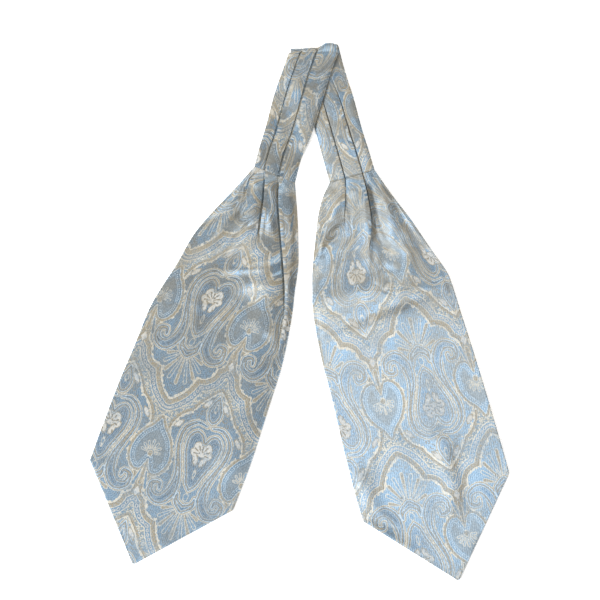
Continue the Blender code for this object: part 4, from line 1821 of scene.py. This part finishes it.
        # Painted shade: fawn patches cover more of the silk the farther up towards the band it lies,
        # standing in for the blue sheen that is lost there.
        table = add(d.tree, "ShaderNodeTexCoord").outputs["Object"]
        up = add(d.tree, "ShaderNodeSeparateXYZ", {0: table}).outputs["Y"]
        inputs = {
            "Value": up,
            "From Min": self.painted_shade_starts,
            "From Max": self.painted_shade_full,
            "To Max": self.painted_shade_most,
        }
        painted_shade_share = d.first("ShaderNodeMapRange", inputs)
        painted_shade_patches = d.first(NOISE, {"Vector": d.silk_mm, "Scale": 0.055, "Detail": 2.0})
        mixed = d.over(mixed, linear(self.fawn), d.both(painted_shade_share, d.below(painted_shade_patches, 0.5, 0.06)))
        d.colour = d.first("ShaderNodeHueSaturation", {"Value": value, "Color": mixed})
        return rib


@dataclass(frozen=True)
class PaperFloor:
    """Matt white paper over a light table: even, with no grain, and hardly a shadow on it."""

    white: str = "#fbfbfb"
    glow: float = 0.45

    def make(self) -> bpy.types.Material:
        """Build the material.

        Returns:
            The material.
        """
        material, shader = fresh("matt paper")
        white = linear(self.white)
        plug(shader, {"Base Color": white, "Roughness": 0.9, "Specular IOR Level": 0.1})
        plug(shader, {"Emission Color": white, "Emission Strength": self.glow})
        return material


@dataclass(frozen=True)
class SilkThread:
    """Fine silk sewing thread in the ground's blue, twisted, with a soft lustre along each stitch."""

    colour: str = "#9fb0bc"
    turn_mm: float = 0.5  # one turn of the twist, drawn coarser than the real thread's

    def make(self) -> bpy.types.Material:
        """Build the material.

        Returns:
            The material.
        """
        material, shader = fresh("silk sewing thread")
        tree = material.node_tree
        place = add(tree, "ShaderNodeTexCoord").outputs["Object"]
        inputs = {"Vector": place, "Scale": pi / 10 / (self.turn_mm * MM)}
        twist = add(tree, "ShaderNodeTexWave", inputs, bands_direction="DIAGONAL").outputs[1]
        bump = add(tree, "ShaderNodeBump", {"Strength": 0.5, "Distance": 0.0001, "Height": twist})
        plug(shader, {"Normal": bump.outputs[0], "Base Color": linear(self.colour)})
        plug(shader, {"Roughness": 0.45, "Sheen Weight": 0.3})
        return material


# ---------------------------------------------------------------------------------------------------
# Sewing


@dataclass(frozen=True)
class SeamStitches:
    """Running stitches that hold the pleats of the band down beside its seams.

    Lengths are in millimetres and sway in degrees.
    """

    pitch: float = 3.4
    length: float = 2.2
    thick: float = 0.5
    sway: float = 7.0
    proud: float = 0.08  # from the silk's face to the middle of the thread
    seed: int = 41

    def _nodes(self) -> bpy.types.NodeTree:
        """Lay a stitch at each step of a line.

        Returns:
            The node tree that does it.
        """
        tree = bpy.data.node_groups.new("running stitches", "GeometryNodeTree")
        sizes = dict.fromkeys(("Pitch", "Length", "Thickness", "Sway"), "Float")
        kinds = {"Line": "Geometry", **sizes, "Seed": "Int", "Thread": "Material"}
        for name, kind in kinds.items():
            tree.interface.new_socket(name, in_out="INPUT", socket_type=f"NodeSocket{kind}")
        tree.interface.new_socket("Stitches", in_out="OUTPUT", socket_type="NodeSocketGeometry")
        given = add(tree, "NodeGroupInput").outputs
        curve = add(tree, "GeometryNodeMeshToCurve", {"Mesh": given["Line"]}).outputs[0]
        inputs = {"Curve": curve, "Length": given["Pitch"]}
        steps = add(tree, "GeometryNodeResampleCurve", inputs, mode="LENGTH")
        inputs = {"Segments": 10, "Rings": 8, "Radius": 0.5}
        thread = add(tree, "GeometryNodeMeshUVSphere", inputs).outputs["Mesh"]
        tangent = add(tree, "GeometryNodeInputTangent").outputs[0]
        along = add(tree, "FunctionNodeAlignRotationToVector", {"Vector": tangent}, axis="X").outputs[0]
        least = add(tree, "ShaderNodeMath", {0: given["Sway"], 1: -1.0}, operation="MULTIPLY").outputs[0]
        inputs = {2: least, 3: given["Sway"], "Seed": given["Seed"]}
        askew = add(tree, "FunctionNodeRandomValue", inputs, data_type="FLOAT")
        turn = add(tree, "ShaderNodeCombineXYZ", {"Z": askew.outputs[1]}).outputs[0]
        twist = add(tree, "FunctionNodeEulerToRotation", {0: turn}).outputs[0]
        inputs = {0: along, 1: twist}
        lie = add(tree, "FunctionNodeRotateRotation", inputs, rotation_space="GLOBAL").outputs[0]
        inputs = {"X": given["Length"], "Y": given["Thickness"], "Z": given["Thickness"]}
        scale = add(tree, "ShaderNodeCombineXYZ", inputs).outputs[0]
        inputs = {"Points": steps.outputs[0], "Instance": thread, "Rotation": lie, "Scale": scale}
        laid = add(tree, "GeometryNodeInstanceOnPoints", inputs).outputs[0]
        whole = add(tree, "GeometryNodeRealizeInstances", {"Geometry": laid}).outputs[0]
        dressed = add(tree, "GeometryNodeSetMaterial", {"Geometry": whole, "Material": given["Thread"]})
        add(tree, "NodeGroupOutput", {"Stitches": dressed.outputs[0]})
        return tree

    def sew(self, name: str, lines: list[Array], thread: bpy.types.Material) -> bpy.types.Object:
        """Sew along a few lines.

        Args:
            name: The piece's name.
            lines: The points of each line on the silk, in millimetres.
            thread: The thread's material.

        Returns:
            The stitches as one plain mesh.
        """
        points, edges = [], []
        for line in lines:
            start = len(points)
            points += [(x * MM, y * MM, (z + self.proud) * MM) for x, y, z in line.tolist()]
            edges += [(i, i + 1) for i in range(start, len(points) - 1)]
        mesh = bpy.data.meshes.new(f"{name}_lines")
        mesh.from_pydata(points, edges, [])
        piece = linked(name, mesh)
        modifier = piece.modifiers.new("stitches", "NODES")
        modifier.node_group = self._nodes()
        values = {
            "Pitch": self.pitch * MM,
            "Length": self.length * MM,
            "Thickness": self.thick * MM,
            "Sway": radians(self.sway),
            "Seed": self.seed,
            "Thread": thread,
        }
        for item in modifier.node_group.interface.items_tree:
            if item.name in values:
                modifier[item.identifier] = values[item.name]
        evaluated = piece.evaluated_get(bpy.context.evaluated_depsgraph_get())
        plain = bpy.data.meshes.new_from_object(evaluated)
        piece.modifiers.clear()
        piece.data = plain
        plain.name = name
        plain.shade_smooth()
        return piece


# ---------------------------------------------------------------------------------------------------
# The cut of this cravat, in millimetres

LEFT_WEAVE = Weave(radians(-20), -70.4, -92.5, 19.8, 1)
RIGHT_WEAVE = Weave(radians(14), 87.5, 109.4, 123.1, -1)

LEFT_BLADE = (
    Section(-45, 145, -4.6, 128.5, 0),
    Section(-63, 124.5, -3, 110, 6.4),
    Section(-86, 100.5, -1.7, 90, 8),
    Section(-106, 76.5, -1, 66, 4.2),
    Section(-123, 47, -1.2, 44, 0.4),
    Section(-137, 25.5, -4.5, 21, 1.4),
    Section(-149.5, 4, -8, -7.5, 1.4),
    Section(-165.5, -35, -17, -52, 1),
    Section(-181.5, -73, -31, -97, 0.8),
    Section(-197, -114, -48, -150, 0.6),
    Section(-209.5, -148.5, -66.5, -198.5, 0.5),
)
LEFT_TIP = (-166.5, -253)
RIGHT_BLADE = (
    Section(30.2, 129, 75, 141.5, 0),
    Section(22.5, 112, 93, 116, 1.8),
    Section(18, 91.5, 112, 91, 2.2),
    Section(15.5, 68, 130, 64.5, 2.6),
    Section(13, 42, 146.5, 41, 4.2),
    Section(12.8, 21, 152.6, 27, 5.4),
    Section(13.8, -3, 162, -3, 3.6),
    Section(22, -47, 171, -31, 1.6),
    Section(32, -85.5, 182.5, -68, 0.8),
    Section(44, -137, 197, -117, 0.6),
    Section(56, -184, 206.5, -150, 0.5),
    Section(63.5, -209.5, 209.5, -161.5, 0.5),
)
RIGHT_TIP = (159.2, -269.2)
BAND_OVER = (
    Section(-11, FOLD_Y, 38.6, FOLD_Y),
    Section(-15, 246, 34, 246),
    Section(-20.5, 231, 28.8, 230.5),
    Section(-26, 214.5, 23.4, 212),
    Section(-34, 184, 12, 176.5),
    Section(-40.3, 163.5, 2, 153),
    Section(-45, 145, -4.6, 128.5),
)
BAND_UNDER = (
    Section(-8, FOLD_Y, 41, FOLD_Y),
    Section(-4.5, 246, 44, 246),
    Section(0.5, 230.5, 48.5, 231),
    Section(6.5, 212, 53.8, 214.5),
    Section(16.5, 178, 62.5, 182.5),
    Section(23.5, 153, 69, 162),
    Section(30.2, 129, 75, 141.5),
)
OVER_EDGES = (BandEdge(0.28, 0.29, 0.6), BandEdge(0.60, 0.64, 1.2))
UNDER_EDGES = (BandEdge(0.31, 0.31, 0.7), BandEdge(0.66, 0.70, 1.3))
OVER_RIDGES = (Ridge(1.5, 5.5, ((38, 276), (34, 256), (24.5, 230.5), (18.5, 212), (11, 188))),)
UNDER_RIDGES = (Ridge(-1.7, 8, ((42, 266), (45.5, 246), (48, 232), (52, 218), (55, 206))),)

LEFT_EDGES = (
    FoldEdge(Side.LEFT, 0, 1.6, ((-43.8, 144.5), (-48, 132), (-51.8, 117.8), (-54, 104))),
    FoldEdge(
        Side.LEFT, BAND_RISE, 3.8, ((-33.3, 140.5), (-34.5, 112), (-37.5, 90), (-40, 66)), 0.6, 0.4
    ),
    FoldEdge(
        Side.LEFT, BAND_RISE, 2.8, ((-19.1, 134), (-19.8, 104), (-13.6, 20), (-14.5, -48)), 1.2, 0.6, 0.7
    ),
)
RIGHT_EDGES = (
    FoldEdge(
        Side.RIGHT, UNDER_RISE, 0.8, ((44.2, 132.9), (44.9, 112), (44.9, 93.5), (46, 76)), 0.7, holds=0.3
    ),
    FoldEdge(Side.RIGHT, UNDER_RISE, 3.2, ((61.5, 137.7), (67.2, 114), (70.8, 88), (69.5, 58)), 1.3),
)
LEFT_RIDGES = (
    Ridge(3, 6, ((-43, 140), (-44, 120), (-49, 98), (-60, 74), (-78, 54))),
    Ridge(-3, 2.6, ((-52, 134), (-53, 116), (-57, 102), (-66, 86))),
    Ridge(-1.3, 3, ((-33, 122), (-33, 106), (-34, 92), (-35.5, 78), (-38, 62))),
    Ridge(0.7, 3.2, ((-26.5, 118), (-27, 102), (-26.5, 86), (-24.5, 70), (-22.5, 54))),
    Ridge(3.3, 12.5, ((-34, 80), (-34, 46), (-33, 20), (-35, -12), (-42, -60))),
    Ridge(0.7, 6, ((-10, 126), (-7.5, 92), (-6.5, 50), (-7, 12), (-11, -24))),
    Ridge(2.8, 4.6, (
        (4, 60), (-8, 56), (-16, 52), (-23, 48), (-32, 45), (-45, 43.5), (-73, 42), (-100, 38),
    )),
    Ridge(4, 11.5, ((4, 38), (-20, 34), (-44, 31), (-78, 27))),
    Ridge(3, 12, ((-30, -30), (-40, -60), (-54, -100), (-72, -150), (-96, -210))),
    Ridge(1.8, 9, ((-66, 108), (-90, 76), (-112, 36))),
    Ridge(1, 17, ((-42, 4), (-56, -60), (-74, -130), (-96, -200))),
    Ridge(-1.2, 6, ((-30, -20), (-40, -44), (-60, -50))),
)
RIGHT_RIDGES = (
    Ridge(3.6, 7, ((37, 128), (34, 104), (27, 80), (19, 58), (16, 36))),
    Ridge(-2.4, 5, ((51.5, 126), (52.5, 100), (48, 76), (38, 56), (32, 36))),
    Ridge(3.2, 6, ((60, 136), (65, 108), (67, 86), (66.5, 56), (64, 30))),
    Ridge(-3.8, 5.4, ((70, 130), (74, 106), (79, 82), (87, 60), (95, 44))),
    Ridge(2.4, 5, ((77, 134), (85, 114), (90, 94), (96, 72), (104, 56))),
    Ridge(-3, 5.4, ((92, 118), (103, 96), (118, 74), (134, 50), (142, 36))),
    Ridge(2.2, 14, ((78, 128), (96, 96), (112, 60))),
    Ridge(2, 4.2, ((99, 74), (109, 58), (110, 38), (100, 25), (84, 20))),
    Ridge(-1.6, 5, ((80, 46), (90, 40), (100, 44))),
    Ridge(2.6, 15, ((-14, 3), (46, 10), (84, 14), (122, 18), (168, 12))),
    Ridge(0.7, 2.4, ((48, 18), (74, 21), (110, 24.5), (152, 23))),
    Ridge(0.9, 5, ((-14, -33), (20, -22), (66, -6), (108, 11), (150, 27), (190, 42))),
    Ridge(3.4, 8, ((60, -150), (67, -180), (78, -203), (101, -220), (130, -240))),
    Ridge(-0.35, 9, ((74, -58), (92, -74), (108, -84))),
    Ridge(2.8, 9, ((132, -110), (150, -160), (156, -224))),
    Ridge(-2.6, 6, ((152, -130), (170, -176), (170, -224))),
)
LEFT_CREASES = (
    Ridge(1.8, 2.4, ((-46, 97), (-60, 84), (-76, 66), (-94, 54))),
    Ridge(1.5, 2.2, ((-44, 86), (-57, 72), (-74, 56))),
    Ridge(1.5, 2.2, ((-52, 107), (-70, 93), (-90, 69))),
    Ridge(-1.5, 2, ((-47, 91.5), (-60, 77), (-78, 60))),
    Ridge(-1.4, 2, ((-50, 102), (-66, 88), (-84, 68))),
    Ridge(0.9, 1.6, ((-32, 32), (-22, 36), (-13, 41))),
    Ridge(0.3, 3.4, ((-120, 14), (-104, 6), (-84, 2))),
    Ridge(0.3, 3.4, ((-44, -84), (-64, -90), (-88, -86))),
)
RIGHT_CREASES = (
    Ridge(1.2, 1.8, ((46, 106), (48, 88), (46, 70))),
    Ridge(1, 2, ((69, 96), (69.6, 74), (69.4, 50), (68, 24))),
    Ridge(1.2, 2, ((74, 98), (80, 80), (90, 64))),
    Ridge(1, 2.2, ((92, 120), (106, 96), (122, 72))),
    Ridge(-1, 2.2, ((98, 120), (112, 96), (128, 70))),
    Ridge(1.3, 2.4, ((18, 62), (26, 78), (38, 88), (50, 90))),
    Ridge(-1.2, 2.4, ((20, 52), (30, 68), (44, 78))),
    Ridge(-0.9, 2, ((72, 30), (82, 22), (98, 18))),
    Ridge(0.3, 3, ((60, -126), (74, -152), (70, -178))),
)


@dataclass(frozen=True)
class Lamp:
    """A soft square light that looks at the cravat."""

    name: str
    place: tuple[float, float, float]  # in metres
    power: float  # in watts
    colour: str
    size: float = 1.2  # its side, in metres

    def hang(self) -> None:
        """Put the light in the scene."""
        data = bpy.data.lights.new(self.name, "AREA")
        data.size = self.size
        data.energy = self.power
        data.color = linear(self.colour)[:3]
        lamp = linked(self.name, data)
        lamp.location = self.place
        lamp.rotation_euler = (-Vector(self.place)).to_track_quat("-Z", "Y").to_euler()


@dataclass(frozen=True)
class Studio:
    """The pale floor, the soft lights and the camera straight above. Lengths are in metres."""

    floor_size: float = 12.0
    floor_drop: float = 0.0003  # below the cravat, so that the two never share a face
    lamps: tuple[Lamp, ...] = (
        Lamp("key", (-2.19, -0.93, 2.14), 131.0, "#f6faff"),
        Lamp("window", (0.47, 2.21, 2.26), 56.0, "#fff9f2"),
    )
    room: float = 0.2  # strength of the pale surroundings
    frame_width: float = 0.6  # of table across the picture
    height: float = 2.0
    centre: Place = (0.0005, 0.0115)
    sensor: float = 36.0

    def _lay_floor(self) -> None:
        """Lay the paper under the cravat."""
        bpy.ops.mesh.primitive_plane_add(size=self.floor_size, location=(0.0, 0.0, -self.floor_drop))
        floor = bpy.context.object
        floor.name = FLOOR
        floor.data.materials.append(PaperFloor().make())

    def build(self) -> None:
        """Set the floor, the lights, the pale surroundings and the camera."""
        self._lay_floor()
        for lamp in self.lamps:
            lamp.hang()
        world = bpy.data.worlds.new("pale room")
        world.use_nodes = True
        plug(world.node_tree.nodes["Background"], {"Color": (1.0, 1.0, 1.0, 1.0), "Strength": self.room})
        scene = bpy.context.scene
        scene.world = world
        scene.view_settings.view_transform = "Standard"
        data = bpy.data.cameras.new("overhead")
        data.sensor_width = self.sensor
        data.lens = self.sensor * self.height / self.frame_width
        camera = linked("overhead", data)
        camera.location = (*self.centre, self.height)
        scene.camera = camera


def tell(piece: bpy.types.Object) -> None:
    """Log how many triangles a piece has."""
    LOG.info("%s: %d triangles", piece.name, sum(len(p.vertices) - 2 for p in piece.data.polygons))


def declare(
    piece: bpy.types.Object,
    node: str,
) -> None:
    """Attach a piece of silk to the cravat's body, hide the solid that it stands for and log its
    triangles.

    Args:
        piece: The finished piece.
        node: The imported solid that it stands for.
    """
    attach(piece, BODY)
    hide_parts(node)
    tell(piece)


def main() -> None:
    """Build the cravat and its studio."""
    logging.basicConfig(level=logging.INFO, format="%(message)s")
    loom = Loom(Repeat())
    silk = JacquardSilk().make()
    left = Blade(
        "blade_left", LEFT_BLADE, LEFT_TIP, LEFT_EDGES, LEFT_RIDGES, LEFT_CREASES, LEFT_WEAVE,
        seed=11, seam_dip=FLAT_SEAM_DIP,
    )
    right = Blade(
        "blade_right", RIGHT_BLADE, RIGHT_TIP, RIGHT_EDGES, RIGHT_RIDGES, RIGHT_CREASES, RIGHT_WEAVE,
        seed=23,
    )
    for blade in (left, right):
        lower = blade.lower(loom, silk)
        declare(lower, f"{blade.name}_lower")
        upper = blade.upper(loom, silk)
        declare(upper, f"{blade.name}_upper")
    over = BandLeg(
        "neck_band_over", BAND_OVER, OVER_EDGES, Side.LEFT, True, OVER_RIDGES, LEFT_WEAVE,
        seed=31, seam_dip=FLAT_SEAM_DIP,
    )
    under = BandLeg(
        "neck_band_under", BAND_UNDER, UNDER_EDGES, Side.RIGHT, False, UNDER_RIDGES, RIGHT_WEAVE,
        seed=37, crisp_reach=0.6, pleat_rise=UNDER_RISE,
    )
    lying = under.build(loom, silk)
    declare(lying, under.name)
    declare(over.build(loom, silk), over.name)
    lines = [over.seam_line, under.seam_line]
    stitches = SeamStitches().sew("seam_stitches", lines, SilkThread().make())
    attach(stitches, BODY)
    tell(stitches)
    Studio().build()


if __name__ == "__main__":
    main()
